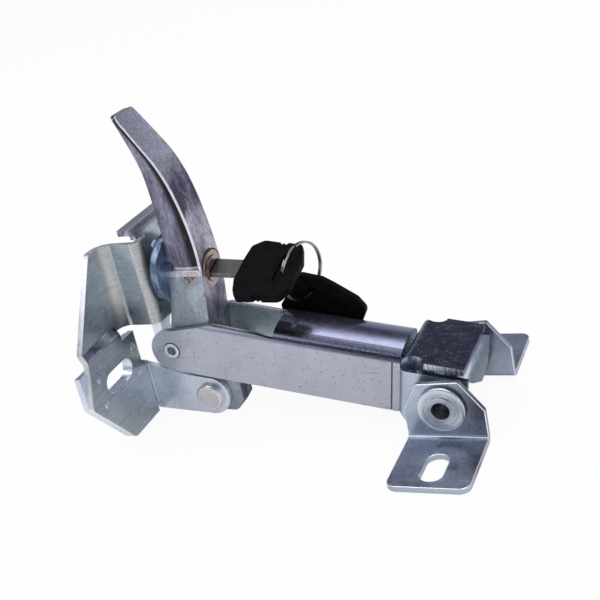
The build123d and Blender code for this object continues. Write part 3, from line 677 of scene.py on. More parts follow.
# Darker copy of the arm's plating for its roof: painted dark reflection.
ROOF_PAINTED_DARK_ZINC = ZincPlate(
    "roof_painted_dark_zinc",
    pale=(0.31, 0.34, 0.46),
    shade=(0.21, 0.23, 0.34),
    tint=(0.27, 0.26, 0.40),
    seam_and_shade=(0.014, 0.014, 0.024),
    rough=0.17,
    specks=0.1,
    scratches=0.1,
    dents=0.05,
)
# Lighter, less mirror-like copy of the arm's plating for its inner faces: painted light.
INNER_PAINTED_LIGHT_ZINC = ZincPlate(
    "inner_painted_light_zinc",
    pale=(0.75, 0.84, 0.86),
    shade=(0.40, 0.51, 0.54),
    rough=0.26,
    specks=0.05,
    tinting=0.0,
    scratches=0.2,
    metal=0.72,
)
# Near-black copy of the yoke's plating for its top: painted dark reflection.
YOKE_PAINTED_DARK_ZINC = ZincPlate(
    "yoke_painted_dark_zinc",
    pale=(0.145, 0.15, 0.23),
    shade=(0.09, 0.092, 0.15),
    tint=(0.15, 0.13, 0.25),
    rough=0.17,
    specks=1.3,
    speck=(0.86, 0.87, 0.95),
    scratches=0.1,
    dents=0.015,
)
# Lighter copy of the yoke's plating for its walls: painted light.
YOKE_SIDE_PAINTED_LIGHT_ZINC = ZincPlate(
    "yoke_side_painted_light_zinc",
    pale=(0.53, 0.60, 0.67),
    shade=(0.37, 0.44, 0.51),
    clouds=0.5,
    rough=0.24,
    specks=0.05,
    scratches=0.1,
)
# Darker copy of the yoke's plating for its neck: painted shade.
YOKE_NECK_PAINTED_SHADE_ZINC = ZincPlate(
    "yoke_neck_painted_shade_zinc",
    pale=(0.27, 0.36, 0.43),
    shade=(0.17, 0.24, 0.31),
    clouds=0.6,
    rough=0.24,
    specks=0.05,
    scratches=0.1,
)
CATCH_ZINC = ZincPlate(
    "catch_zinc",
    pale=(0.53, 0.60, 0.70),
    shade=(0.36, 0.41, 0.52),
    clouds=0.7,
    cloud_size=30.0,
    shadows=((166.0, -26.0, -14.0, 22.0), (167.0, -45.0, -31.0, 13.0)),
    tint=(0.37, 0.38, 0.52),
    rough=0.24,
    specks=0.03,
    scratches=0.08,
)
PIN_ZINC = ZincPlate(
    "pin_zinc",
    pale=(0.74, 0.70, 0.73),
    shade=(0.60, 0.57, 0.61),
    clouds=0.5,
    cloud_size=5.0,
    rough=0.26,
    specks=0.15,
    tinting=0.1,
)
# Near-white copy of the plating for broken edges: painted highlight.
EDGE_PAINTED_HIGHLIGHT_ZINC = ZincPlate(
    "edge_painted_highlight_zinc",
    pale=(0.92, 0.93, 0.97),
    shade=(0.70, 0.72, 0.78),
    rough=0.24,
    specks=0.1,
    tinting=0.1,
)
SHEAR_ZINC = ZincPlate(
    "shear_zinc",
    pale=(0.70, 0.80, 0.88),
    shade=(0.20, 0.25, 0.30),
    clouds=0.2,
    rough=0.30,
    specks=0.1,
    scratches=2.0,
    drawn=Grain.RIBBED_X,
)
PART_ZINC = ZincPlate(
    "small_part_zinc",
    pale=(0.70, 0.73, 0.79),
    shade=(0.50, 0.53, 0.60),
    rough=0.20,
    specks=0.05,
    tinting=0.15,
)
DRUM_ZINC = ZincPlate(
    "drum_zinc",
    pale=(0.27, 0.35, 0.46),
    shade=(0.09, 0.13, 0.22),
    clouds=0.9,
    cloud_size=9.0,
    rough=0.16,
    specks=0.03,
    tinting=0.1,
)
# Light and shade down the lever's front are painted by height.
LEVER_CAST = CastPlate(
    "lever_cast",
    light=(0.86, 0.85, 0.96),
    dark=(0.09, 0.08, 0.14),
    height_light_and_shade=(
        (-10, 0.85),
        (22, 0.68),
        (32, 0.5),
        (42, 0.45),
        (56, 0.42),
        (62, 0.55),
        (66, 0.82),
        (74, 0.84),
        (80, 0.62),
        (88, 0.34),
        (96, 0.06),
        (109, 0.02),
    ),
)
# Darker copy of the casting for the lever's sides: painted shade, with rust stains.
LEVER_SIDE_SHADE_AND_RUST = CastPlate(
    "lever_side_shade_and_rust",
    light=(0.56, 0.56, 0.68),
    dark=(0.14, 0.13, 0.20),
    rough=0.38,
    height_light_and_shade=((10, 0.78), (40, 0.74), (60, 0.70), (80, 0.58), (95, 0.44), (109, 0.4)),
    stains=((42.4, -8.0, 45.0, 2.4), (41.5, -8.0, 54.0, 2.6), (40.2, -8.0, 60.0, 2.0)),
)
LEVER_BLOCK = CastPlate(
    "lever_block",
    light=(0.54, 0.61, 0.66),
    dark=(0.24, 0.27, 0.32),
    rough=0.36,
    stains=(
        (40.2, -9.8, 36.2, 6.4),
        (45.4, -9.4, 28.0, 2.0),
        (44.6, -9.8, 15.0, 2.2),
        (43.6, -10.2, 8.0, 1.8),
    ),
)
# Near-white copies for the ledge's upward face and the flange's narrow edge: painted highlights.
LEVER_LEDGE_PAINTED_HIGHLIGHT = CastPlate("lever_ledge_painted_highlight", light=(0.98, 0.96, 1.0), dark=(0.42, 0.40, 0.46), rough=0.40)
LEVER_EDGE_PAINTED_HIGHLIGHT = CastPlate("lever_edge_painted_highlight", light=(1.0, 1.0, 1.0), dark=(0.80, 0.79, 0.86), rough=0.24)
LOCK_NICKEL = TurnedMetal(
    "worn_lock_face", colour=(0.44, 0.35, 0.32), stain_and_shade=(0.30, 0.23, 0.22), rough=0.30
)
KEY_NICKEL = TurnedMetal(
    "key_blade_metal", colour=(0.20, 0.185, 0.175), stain_and_shade=(0.11, 0.10, 0.095), rough=0.26
)
RING_STEEL = TurnedMetal(
    "ring_steel", colour=(0.46, 0.44, 0.42), stain_and_shade=(0.20, 0.19, 0.18), rough=0.10
)
SPRING_STEEL = TurnedMetal(
    "spring_wire", colour=(0.30, 0.30, 0.32), stain_and_shade=(0.16, 0.16, 0.18), rough=0.32
)
KEY_PLASTIC = MouldedPlastic("key_plastic")
# Near-black for the lock's joint, and painted shade inside the keyway and round the rivet heads.
DARK_JOINT_AND_SHADE = TurnedMetal(
    "dark_joint_and_painted_shade", colour=(0.02, 0.02, 0.022), stain_and_shade=(0.01, 0.01, 0.01), rough=0.7, metal=0.0
)


@dataclass
class Edging:
    """How the sharp edges of a piece are broken.

    Args:
        width: Width of the broken edge in millimetres, 0 for none.
        segments: Faces across it.
        angle: Smallest angle in degrees that counts as an edge.
    """

    width: float = 0.3
    segments: int = 2
    angle: float = 34.0


@dataclass
class Bench:
    """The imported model, and the pieces that were made for it.

    Args:
        made: Names of the pieces, in order.
    """

    frame: dict
    made: list[str] = field(default_factory=list)

    def node_mesh(self, node: str) -> bmesh.types.BMesh:
        """Clean copy of a node's mesh, in millimetres, with flat regions joined.

        Args:
            node: Name of the CAD node.

        Returns:
            The mesh.
        """
        bm = bmesh.new()
        bm.from_mesh(self.frame["nodes"][node].data)
        bmesh.ops.scale(bm, vec=(1 / MM,) * 3, verts=bm.verts)
        bmesh.ops.remove_doubles(bm, verts=bm.verts, dist=JOINED)
        bmesh.ops.dissolve_limit(bm, angle_limit=math.radians(0.4), verts=bm.verts, edges=bm.edges)
        return bm

    def put(
        self,
        name: str,
        bm: bmesh.types.BMesh,
        body: str,
        finish: Finish,
        replaces: tuple[str, ...] = (),
        edging: Edging | None = None,
        edge_finish: Finish | None = None,
    ) -> bpy.types.Object:
        """Makes an object of a mesh in millimetres and lets it ride on a body.

        Args:
            name: Name of the piece.
            bm: Its mesh, which is freed.
            body: The body it rides on.
            finish: Its surface.
            replaces: CAD nodes it stands for.
            edging: How its edges are broken.
            edge_finish: Surface of the broken edges.

        Returns:
            The object.
        """
        bmesh.ops.recalc_face_normals(bm, faces=bm.faces)
        bmesh.ops.scale(bm, vec=(MM,) * 3, verts=bm.verts)
        mesh = bpy.data.meshes.new(name)
        bm.to_mesh(mesh)
        bm.free()
        obj = bpy.data.objects.new(name, mesh)
        bpy.context.scene.collection.objects.link(obj)
        mesh.materials.append(finish.material())
        mesh.shade_smooth()
        mesh.set_sharp_from_angle(angle=math.radians(edging.angle if edging else 34.0))
        if edging and edging.width > 0:
            cut = obj.modifiers.new("broken_edges", "BEVEL")
            cut.width = edging.width * MM
            cut.segments = edging.segments
            cut.limit_method = "ANGLE"
            cut.angle_limit = math.radians(edging.angle)
            cut.harden_normals = True
            if edge_finish:
                mesh.materials.append(edge_finish.material())
                cut.material = 1
        flat = obj.modifiers.new("flat_faces", "WEIGHTED_NORMAL")
        flat.keep_sharp = True
        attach(obj, body)
        if replaces:
            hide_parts(*replaces)
        self.made.append(name)
        LOG.info("%s rides on %s, %d faces", name, body, len(mesh.polygons))
        return obj

    def dress(
        self,
        name: str,
        node: str,
        body: str,
        finish: Finish,
        edging: Edging,
        edge_finish: Finish | None = None,
    ) -> bpy.types.Object:
        """Stands a copy with broken edges in for a node."""
        return self.put(name, self.node_mesh(node), body, finish, (node,), edging, edge_finish)


def ring_of(bm: bmesh.types.BMesh, places: list[Vector]) -> list[bmesh.types.BMVert]:
    """Adds a row of vertices."""
    return [bm.verts.new(place) for place in places]


def skin(bm: bmesh.types.BMesh, rows: list[list[bmesh.types.BMVert]], closed: bool = True) -> None:
    """Joins rows of vertices with quads.

    Args:
        bm: The mesh.
        rows: Rows of equal length.
        closed: True if each row runs back to its start.
    """
    count = len(rows[0])
    for first, second in zip(rows, rows[1:]):
        for i in range(count if closed else count - 1):
            j = (i + 1) % count
            bm.faces.new((first[i], first[j], second[j], second[i]))


def lathe(
    bm: bmesh.types.BMesh, frame: Frame, profile: list[tuple[float, float]], steps: int = 48
) -> None:
    """Turns a profile about a frame's x axis.

    Args:
        bm: The mesh.
        frame: Its x axis is the axis of turning.
        profile: Places along and out from the axis, in millimetres.
        steps: Facets round it.
    """
    rows = []
    for i in range(steps):
        a = 2 * math.pi * i / steps
        rows.append(
            ring_of(bm, [frame.at(s, r * math.cos(a), r * math.sin(a)) for s, r in profile])
        )
    rows.append(rows[0])
    skin(bm, rows, closed=False)
    bmesh.ops.remove_doubles(bm, verts=bm.verts, dist=JOINED)


def between(table: tuple[tuple[float, ...], ...], at: float) -> list[float]:
    """Values of a table at a place given in its first column, smoothly between its rows.

    Args:
        table: Rows in rising order of the first column.
        at: The place.

    Returns:
        The other columns' values there.
    """
    if at <= table[0][0]:
        return list(table[0][1:])
    for i, (low, high) in enumerate(zip(table, table[1:])):
        if at <= high[0]:
            before = table[i - 1] if i > 0 else low
            after = table[i + 2] if i + 2 < len(table) else high
            t = (at - low[0]) / (high[0] - low[0])
            values = []
            for k in range(1, len(low)):
                first = (high[k] - before[k]) / (high[0] - before[0]) * (high[0] - low[0])
                last = (after[k] - low[k]) / (after[0] - low[0]) * (high[0] - low[0])
                a = 2 * low[k] - 2 * high[k] + first + last
                b = -3 * low[k] + 3 * high[k] - 2 * first - last
                values.append(((a * t + b) * t + first) * t + low[k])
            return values
    return list(table[-1][1:])


def rounded(points: list[tuple[float, float, float]], steps: int = 5) -> list[tuple[float, float]]:
    """Closed outline with its corners rounded.

    Args:
        points: Corners, each with its radius.
        steps: Pieces that each corner is made of.

    Returns:
        The outline's points.
    """
    made = []
    for i, (x, y, r) in enumerate(points):
        corner = Vector((x, y))
        run_in = Vector(points[i - 1][:2]) - corner
        run_out = Vector(points[(i + 1) % len(points)][:2]) - corner
        before, after = run_in.normalized(), run_out.normalized()
        if r <= 0:
            made.append((x, y))
            continue
        half = before.angle(after) / 2
        back = min(r / math.tan(half), 0.49 * run_in.length, 0.49 * run_out.length)
        first, last = corner + before * back, corner + after * back
        for k in range(steps + 1):
            t = k / steps
            place = first * (1 - t) ** 2 + corner * 2 * t * (1 - t) + last * t**2
            made.append((place.x, place.y))
    return made


def slab(
    bm: bmesh.types.BMesh, frame: Frame, outline: list[tuple[float, float]], low: float, high: float
) -> None:
    """Flat piece of an outline in a frame's x and y, from one height to another.

    Args:
        bm: The mesh.
        frame: The frame.
        outline: The outline, in the frame's x and y.
        low: Height of the piece's lower face.
        high: Height of its upper face.
    """
    rows = [ring_of(bm, [frame.at(x, y, z) for x, y in outline]) for z in (low, high)]
    skin(bm, rows)
    bm.faces.new(list(reversed(rows[0])))
    bm.faces.new(rows[1])


def cut(bm: bmesh.types.BMesh, place: Vector, normal: Vector) -> None:
    """Cuts every face along a plane, and keeps both halves."""
    geometry = bm.verts[:] + bm.edges[:] + bm.faces[:]
    bmesh.ops.bisect_plane(bm, geom=geometry, dist=JOINED, plane_co=place, plane_no=normal)


def inset_outline(points: list[tuple[float, float]], inset: float) -> list[tuple[float, float]]:
    """Outline moved inwards.

    Args:
        points: The outline, the inside on its left.
        inset: How far.

    Returns:
        As many points, moved along their normals.
    """
    made = []
    for i, (x, y) in enumerate(points):
        run = Vector(points[(i + 1) % len(points)]) - Vector(points[i - 1])
        if run.length > 0:
            run.normalize()
        made.append((x - run.y * inset, y + run.x * inset))
    return made


def fill(
    bm: bmesh.types.BMesh, outer: list[bmesh.types.BMVert], inner: list[bmesh.types.BMVert]
) -> None:
    """Fills the flat space between two closed rows.

    Args:
        bm: The mesh.
        outer: The outer row.
        inner: The inner row.
    """
    edges = []
    for row in (outer, inner):
        for a, b in zip(row, row[1:] + row[:1]):
            edges.append(bm.edges.get((a, b)) or bm.edges.new((a, b)))
    bmesh.ops.triangle_fill(bm, use_beauty=True, use_dissolve=False, edges=edges)


def cap(bm: bmesh.types.BMesh, row: list[bmesh.types.BMVert]) -> None:
    """Closes the end of a lofted piece."""
    bm.faces.new(row)


def key_frame() -> Frame:
    """Frame of the key in the lock: out of the lock's face, across the blade and up from it.

    Returns:
        The frame.
    """
    a = math.radians(KEY_ROLL)
    across = Vector((0, math.cos(a), 0)) + LOCK.z * math.sin(a)
    return Frame(LOCK.origin, LOCK.x, across, LOCK.x.cross(across))


@dataclass
class BasePlate:
    """Pressed base plate with its ear brackets, weld marks and handle pin.

    Args:
        foot_x: Front face of the feet.
        slot_y: Distance of each slot from the middle.
        mark_dy: Distance of a weld mark from the slot's centre, across.
        mark_dz: Distance of a weld mark from the slot's centre, up.
        mark_r: Radius of a weld mark.
        mark_profile: A weld mark's heights, each with its share of the radius.
        bend_x: Centre of the channel's front bend in the plain pressing, forwards.
        bend_y: The same, across.
        bend_radii: Outer and inner radius of that bend.
        tighten: How much smaller the bend's radius is made.
        curved: Least part of a normal across an axis that counts as bent.
        channel_z: Heights between which the channel runs.
        lip_z: Height above which the top lip lies.
        web_y: Half width of the channel's web.
        lip_far_y: Where the top lip ends on the far side.
        far_edge_z: Heights between which the far wing's top edge lies.
        far_drop: How much lower the far wing's top edge is.
        wing_z: Height from which the wings' outer edges are moved in.
        wing_y: Distance from the middle beyond which an edge is an outer one.
        wing_shift: How far such an edge is moved in at the wing's root.
        wing_slope: How much less it is moved in per millimetre of height.
        wing_root_z: Height of the wing's root.
        sheared: Mean width below which a face is a sheared edge of the sheet.
        foot_top_z: Heights between which the feet's upper bends lie.
        pin_shank: Radius beyond which the pin is its head.
        pin_grow: How much wider the pin's heads are than in the plain pin.
        seam_y: Place of the joint between a foot and its ear, across.
        seam_half: Half the width of that joint.
        seam_z: Lowest and highest place of that joint.
    """

    foot_x: float = 5.2
    slot_y: float = 29.7
    mark_dy: float = 14.7
    mark_dz: float = 6.1
    mark_r: float = 1.4
    mark_profile: tuple[tuple[float, float], ...] = (
        (-0.2, 1.25),
        (0.06, 1.2),
        (0.02, 1.0),
        (0.2, 0.85),
        (0.36, 0.5),
        (0.4, 0.0),
    )
    bend_x: float = 13.5
    bend_y: float = 5.7
    bend_radii: tuple[float, float] = (7.8, 5.2)
    tighten: float = 3.8
    curved: float = 0.12
    channel_z: tuple[float, float] = (15.0, 56.0)
    lip_z: float = 58.0
    web_y: float = 12.8
    lip_far_y: float = 21.0
    far_edge_z: tuple[float, float] = (54.0, 56.0)
    far_drop: float = 2.6
    wing_z: float = 10.0
    wing_y: float = 24.0
    wing_shift: float = 4.9
    wing_slope: float = 0.034
    wing_root_z: float = 16.0
    sheared: float = 2.9
    foot_top_z: tuple[float, float] = (10.0, 22.0)
    pin_shank: float = 4.6
    pin_grow: float = 1.14
    seam_y: float = 8.0
    seam_half: float = 0.4
    seam_z: tuple[float, float] = (-26.8, -5.9)

    def build(self, bench: Bench) -> None:
        """Makes the plate, the ears, the weld marks and the pin.

        Args:
            bench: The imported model, where the pieces go.
        """
        self.plate(bench)
        for side in ("near", "far"):
            bench.dress(
                f"{side}_ear_plate", f"{side}_ear_bracket", "base", EAR_ZINC, Edging(0.3), EDGE_PAINTED_HIGHLIGHT_ZINC
            )
        self.weld_marks(bench)
        self.pin(bench)

    def plate(self, bench: Bench) -> None:
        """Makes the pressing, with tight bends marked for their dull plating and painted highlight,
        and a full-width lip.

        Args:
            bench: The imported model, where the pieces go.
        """
        bm = bench.node_mesh("base_plate")
        layer = bm.verts.layers.float.new(BEND_MASK)
        for vert in bm.verts:
            self.reshape(vert, layer)
        for face in bm.faces:
            n = face.normal
            upright = abs(n.z) < 0.05
            if upright and self.curved < abs(n.x) < 0.985 and self.curved < abs(n.y):
                for vert in face.verts:
                    vert[layer] = 1.0
        plate = bench.put(
            "base_pressing",
            bm,
            "base",
            BASE_ZINC,
            ("base_plate",),
            Edging(0.4, 2, 42.0),
            EDGE_PAINTED_HIGHLIGHT_ZINC,
        )
        plate.data.materials.append(POLISHED_REFLECTION_ZINC.material())
        for face in plate.data.polygons:
            face.material_index = self.slot_of(plate.data, face)

    def reshape(self, vert: bmesh.types.BMVert, layer: bmesh.types.BMLayerItem) -> None:
        """Moves one vertex of the plain pressing to its place in the dressed one.

        Args:
            vert: The vertex.
            layer: Where the bends are marked.
        """
        x, y, z = vert.co
        low, high = self.channel_z
        in_bend = x > self.bend_x - 0.01 and abs(y) > self.bend_y - 0.01
        if low < z < high and in_bend:
            self.tighten_bend(vert, layer)
        if z > self.lip_z and y > self.web_y:
            vert.co.y = self.lip_far_y
        if self.far_edge_z[0] < z < self.far_edge_z[1] and y > self.web_y:
            vert.co.z -= self.far_drop
        if z > self.wing_z and abs(y) > self.wing_y:
            shift = self.wing_shift - self.wing_slope * (z - self.wing_root_z)
            vert.co.y -= math.copysign(shift, y)

    def tighten_bend(self, vert: bmesh.types.BMVert, layer: bmesh.types.BMLayerItem) -> None:
        """Moves a vertex of the channel's front bend onto the tighter radius, and marks it.

        Args:
            vert: The vertex.
            layer: Where the bends are marked.
        """
        x, y, _ = vert.co
        new = Vector((self.bend_x + self.tighten, self.bend_y + self.tighten))
        out = Vector((x, abs(y))) - Vector((self.bend_x, self.bend_y))
        r = out.length
        out.normalize()
        moved = new + out * (r - self.tighten)
        if any(abs(r - radius) < 0.05 for radius in self.bend_radii):
            vert.co.x, vert.co.y = moved.x, math.copysign(moved.y, y)
            if min(out.x, out.y) > self.curved:
                vert[layer] = 1.0

    def slot_of(self, mesh: bpy.types.Mesh, face: bpy.types.MeshPolygon) -> int:
        """Chooses the finish of one face of the pressing.

        Args:
            mesh: The pressing's mesh.
            face: One of its faces.

        Returns:
            0 for the plating, 1 for a sheared edge and 2 for a polished face painted with
            reflections.
        """
        n, height = face.normal, face.center.z
        low, high = self.foot_top_z
        if low * MM < height < high * MM and n.z > 0.25 and n.x > 0.3:
            return 2
        if height > self.far_edge_z[0] * MM and n.y < -0.8:
            return 2
        loop = [mesh.vertices[i].co for i in face.vertices]
        around = sum((b - a).length for a, b in zip(loop, loop[1:] + loop[:1]))
        narrow = 2 * face.area / around < self.sheared * MM
        sideways = abs(n.x) < 0.3 and max(abs(n.y), abs(n.z)) > 0.75
        return 1 if narrow and sideways else 0

    def pin(self, bench: Bench) -> None:
        """Makes the handle pin with its two wide, broken-edged heads.

        Args:
            bench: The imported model, where the pieces go.
        """
        bm = bench.node_mesh("handle_pin")
        for vert in bm.verts:
            out = vert.co - PIN.origin
            out.y = 0.0
            if out.length > self.pin_shank:
                vert.co += out * (self.pin_grow - 1)
        bench.put(
            "riveted_handle_pin", bm, "base", PIN_ZINC, ("handle_pin",), Edging(0.3, 3), EDGE_PAINTED_HIGHLIGHT_ZINC
        )

    def weld_marks(self, bench: Bench) -> None:
        """Makes the four shallow weld marks round each slot and the pale seam beside each foot.

        Args:
            bench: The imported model, where the pieces go.
        """
        bm = bmesh.new()
        x, y, z = (Vector(axis) for axis in ((1, 0, 0), (0, 1, 0), (0, 0, 1)))
        half, (low, high) = self.seam_half, self.seam_z
        strip = [(-half, low), (half, low), (half, high), (-half, high)]
        for side in (-1, 1):
            seam = Frame(Vector((self.foot_x - 0.6, side * self.seam_y, 0)), y, z, x)
            slab(bm, seam, strip, 0.0, 0.68)
            for across in (-1, 1):
                for up in (-1, 1):
                    mark_y = side * self.slot_y + across * self.mark_dy
                    frame = Frame(Vector((self.foot_x, mark_y, up * self.mark_dz)), x, y, z)
                    lathe(
                        bm, frame, [(s, self.mark_r * share) for s, share in self.mark_profile], 20
                    )
        bench.put("weld_marks", bm, "base", PART_ZINC)


@dataclass
class Lever:
    """Cast handle with the lock in it, with places in millimetres from the handle pin.

    Args:
        stem: Rows of height, front, rear, half width in front and half width behind.
        block: The same for the block below the ledge.
        ledge_z: Height of the ledge.
        lip: Thickness of the front flange.
        heel: Outline of the heel between the ears, with corner radii.
        heel_half: Half the heel's width.
        drum_r: Radius of the drum behind the lock.
        drum_from: Depth of the drum's front behind the lock's face.
        drum_to: Depth of its back.
        keyway_open: Extra width of the keyway above the blade.
        block_z: Heights of the block's sections.
        ledge_steps: Rises above the ledge, each with the share of the flange's overhang there.
        horn_z: Lowest and highest of the horn's evenly spaced sections.
        horn_step: Distance between them.
        tip_z: Height at which the tip starts to round off.
        tip_steps: Rises above that height, each with its inset.
        tip_lip: Thickness of the flange at the tip.
    """

    stem: tuple[tuple[float, ...], ...] = (
        (62.4, 12.7, -7.2, 9.1, 7.3),
        (65.0, 12.65, -6.4, 8.9, 7.3),
        (70.0, 12.5, -5.5, 8.6, 7.2),
        (76.0, 12.1, -4.7, 8.45, 7.1),
        (82.0, 11.4, -4.5, 8.4, 7.0),
        (88.0, 10.5, -4.6, 8.45, 7.0),
        (94.0, 9.3, -4.8, 8.5, 7.0),
        (100.0, 7.8, -5.1, 8.55, 7.0),
        (106.0, 5.7, -5.7, 8.6, 6.9),
        (112.0, 2.9, -7.0, 8.6, 6.8),
        (118.0, -0.8, -8.8, 8.4, 6.6),
        (124.0, -4.6, -10.9, 8.1, 6.5),
        (129.0, -7.9, -12.6, 7.8, 6.4),
        (131.3, -9.4, -13.3, 7.6, 6.3),
    )
    block: tuple[tuple[float, ...], ...] = (
        (17.4, 4.6, -8.5, 10.2),
        (20.0, 6.6, -12.6, 10.2),
        (24.4, 8.4, -13.1, 10.2),
        (31.0, 9.1, -13.1, 10.2),
        (37.0, 10.0, -10.2, 10.0),
        (44.0, 11.0, -8.4, 9.8),
        (50.0, 11.8, -7.4, 9.6),
        (57.0, 12.5, -7.4, 9.4),
        (62.0, 12.7, -7.2, 9.1),
    )
    ledge_z: float = 61.9
    lip: float = 3.0
    heel: tuple[tuple[float, float, float], ...] = (
        (-8.5, 20.0, 0.0),
        (-8.6, 0.0, 4.0),
        (-6.4, -6.0, 3.0),
        (0.0, -8.4, 3.0),
        (9.2, -8.9, 0.8),
        (11.0, -8.1, 0.8),
        (14.5, -3.5, 0.8),
        (14.5, 5.2, 0.8),
        (8.2, 20.0, 0.0),
    )
    heel_half: float = 4.8
    drum_r: float = 15.6
    drum_from: float = 18.0
    drum_to: float = 22.2
    keyway_open: float = 0.55
    block_z: tuple[float, ...] = (
        *(17.4, 18.0, 20.0, 22.5, 26.0, 30.0, 33.0, 36.0),
        *(40.0, 45.0, 50.0, 55.0, 59.0, 59.9, 60.1, 61.2),
    )
    ledge_steps: tuple[tuple[float, float], ...] = (
        (0.0, 0.0),
        (0.35, 0.06),
        (0.6, 0.25),
        (0.75, 0.8),
        (0.95, 0.97),
        (1.6, 1.0),
    )
    horn_z: tuple[float, float] = (66.0, 130.6)
    horn_step: float = 2.0
    tip_z: float = 131.1
    tip_steps: tuple[tuple[float, float], ...] = (
        (0.0, 0.0), (0.35, 0.12), (0.58, 0.4), (0.66, 0.8)
    )
    tip_lip: float = 1.2

    def build(self, bench: Bench) -> None:
        """Makes the casting, the lock and its cam.

        Args:
            bench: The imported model, where the pieces go.
        """
        self.casting(bench)
        self.drum(bench)
        self.lock_face(bench)
        self.plug(bench)
        bench.dress("lock_cam_bar", "lock_cam", "lock", PART_ZINC, Edging(0.3), EDGE_PAINTED_HIGHLIGHT_ZINC)
        bench.dress("cam_fixing_screw", "cam_screw", "lock", PART_ZINC, Edging(0.1))

    def section(
        self, z: float, front: float, rear: float, wide: float, narrow: float, lip: float
    ) -> list[Vector]:
        """Level section of the casting with a flange in front.

        Args:
            z: Its height.
            front: Front face.
            rear: Rear face.
            wide: Half width of the flange.
            narrow: Half width behind the flange.
            lip: Thickness of the flange.

        Returns:
            Its points, all round.
        """
        back = narrow - min(0.4, 0.1 * (front - rear))
        span = front - rear
        groove = 0.34 * (wide - narrow)
        half = [
            (front + 0.28, 0.0),
            (front + 0.2, 0.55 * wide),
            (front + 0.04, wide - 0.7),
            (front - 0.10, wide - 0.18),
            (front - 0.35, wide),
            (front - 0.40 * lip, wide),
            (front - 0.47 * lip, wide - 0.12),
            (front - 0.62 * lip, narrow - groove),
            (front - lip, narrow - 1.5 * groove),
            (front - lip - 0.10 * span, narrow - 0.8 * groove),
            (front - lip - 0.24 * span, narrow),
            (rear + 0.16 * span, back),
            (rear + 0.07 * span, back - 0.2),
            (rear + 0.03 * span, back - 0.8),
            (rear, back - 1.9),
            (rear - 0.02, 0.0),
        ]
        whole = half + [(x, -y) for x, y in reversed(half[1:-1])]
        return [PIN.at(x, y, z) for x, y in whole]

    def casting(self, bench: Bench) -> None:
        """Lofts the block, the ledge and the horn, and adds the heel.

        Args:
            bench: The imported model, where the pieces go.
        """
        bm = bmesh.new()
        sections = []
        for z in self.block_z:
            front, rear, wide = between(self.block, z)
            inset = 0.7 if z < 17.5 else (0.15 if z < 18.5 else 0.0)
            wide -= inset
            sections.append((z, front - inset, rear + inset, wide, wide, self.lip))
        front, rear, wide, narrow = self.stem[0][1:]
        for rise, share in self.ledge_steps:
            behind = wide + (narrow - wide) * share
            sections.append((self.ledge_z + rise, front, rear, wide, behind, self.lip))
        z, top = self.horn_z
        while z < top:
            front, rear, wide, narrow = between(self.stem, z)
            sections.append((z, front, rear, wide, narrow, self.lip_at(front, rear)))
            z += self.horn_step
        front, rear, wide, narrow = self.stem[-1][1:]
        for rise, inset in self.tip_steps:
            inside = (front - inset, rear + inset, wide - inset, narrow - inset)
            sections.append((self.tip_z + rise, *inside, self.tip_lip))
        rows = [ring_of(bm, self.section(*sizes)) for sizes in sections]
        skin(bm, rows)
        cap(bm, list(reversed(rows[0])))
        cap(bm, rows[-1])
        side = Frame(PIN.origin, PIN.x, PIN.z, Vector((0, -1, 0)))
        slab(bm, side, rounded(list(self.heel)), -self.heel_half, self.heel_half)
        # The groove behind the flange is marked for a painted shadow.
        dark = bm.verts.layers.float.new(SEAM_AND_SHADE_MASK)
        for vert in bm.verts:
            local = vert.co - PIN.origin
            if local.z > self.ledge_z + 1.4:
                front, rear, wide, narrow = between(self.stem, local.z)
                depth = front - local.x
                lip = self.lip_at(front, rear)
                in_groove = 0.5 * lip < depth < lip + 0.12 * (front - rear)
                if in_groove and abs(local.y) > 0.8 * narrow:
                    vert[dark] = 1.0
        lever = bench.put(
            "cast_lever", bm, "handle", LEVER_CAST, ("handle",), Edging(0.25, 2, 50.0)
        )
        for finish in (LEVER_EDGE_PAINTED_HIGHLIGHT, LEVER_SIDE_SHADE_AND_RUST, LEVER_BLOCK, LEVER_LEDGE_PAINTED_HIGHLIGHT):
            lever.data.materials.append(finish.material())
        # Flange edge and ledge take painted highlights, the sides painted shade.
        for face in lever.data.polygons:
            height = face.center.z / MM - PIN.origin.z
            if self.on_flange(face.center):
                face.material_index = 1
            elif height > self.ledge_z + 2.2 and face.normal.x < 0.5:
                face.material_index = 2
            elif self.ledge_z - 1.9 < height <= self.ledge_z + 2.2 and face.normal.x < 0.5:
                face.material_index = 4
            elif height <= self.ledge_z - 1.9 and (
                abs(face.normal.y) > 0.5 or face.normal.x < -0.3
            ):
                face.material_index = 3

    def lip_at(self, front: float, rear: float) -> float:
        """Thickness of the flange where the horn has a front and a rear face."""
        return min(self.lip, 0.62 * (front - rear))

    def on_flange(self, centre: Vector) -> bool:
        """True if a place lies on the narrow side face of the front flange.

        Args:
            centre: The place in metres.

        Returns:
            Whether it does.
        """
        height = centre.z / MM - PIN.origin.z
        front, rear, wide, narrow = between(self.stem, height)
        across = abs(centre.y) / MM
        along = centre.x / MM - PIN.origin.x
        outside = height > self.ledge_z + 0.8 and across > wide - 0.3
        return outside and front - 0.5 * self.lip < along < front - 0.05

    def plug(self, bench: Bench) -> None:
        """Makes the plug, its keyway opened a little above the blade.

        Args:
            bench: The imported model, where the pieces go.
        """
        bm = bench.node_mesh("lock_plug")
        key = key_frame()
        for vert in bm.verts:
            local = vert.co - key.origin
            out, across, up = local.dot(key.x), local.dot(key.y), local.dot(key.z)
            if out > -3.0 and abs(across) < 5.3 and 1.15 < up < 1.4:
                vert.co += key.z * self.keyway_open
        core = bench.put("lock_core", bm, "lock", LOCK_NICKEL, ("lock_plug",), Edging(0.06, 2))
        core.data.materials.append(DARK_JOINT_AND_SHADE.material())
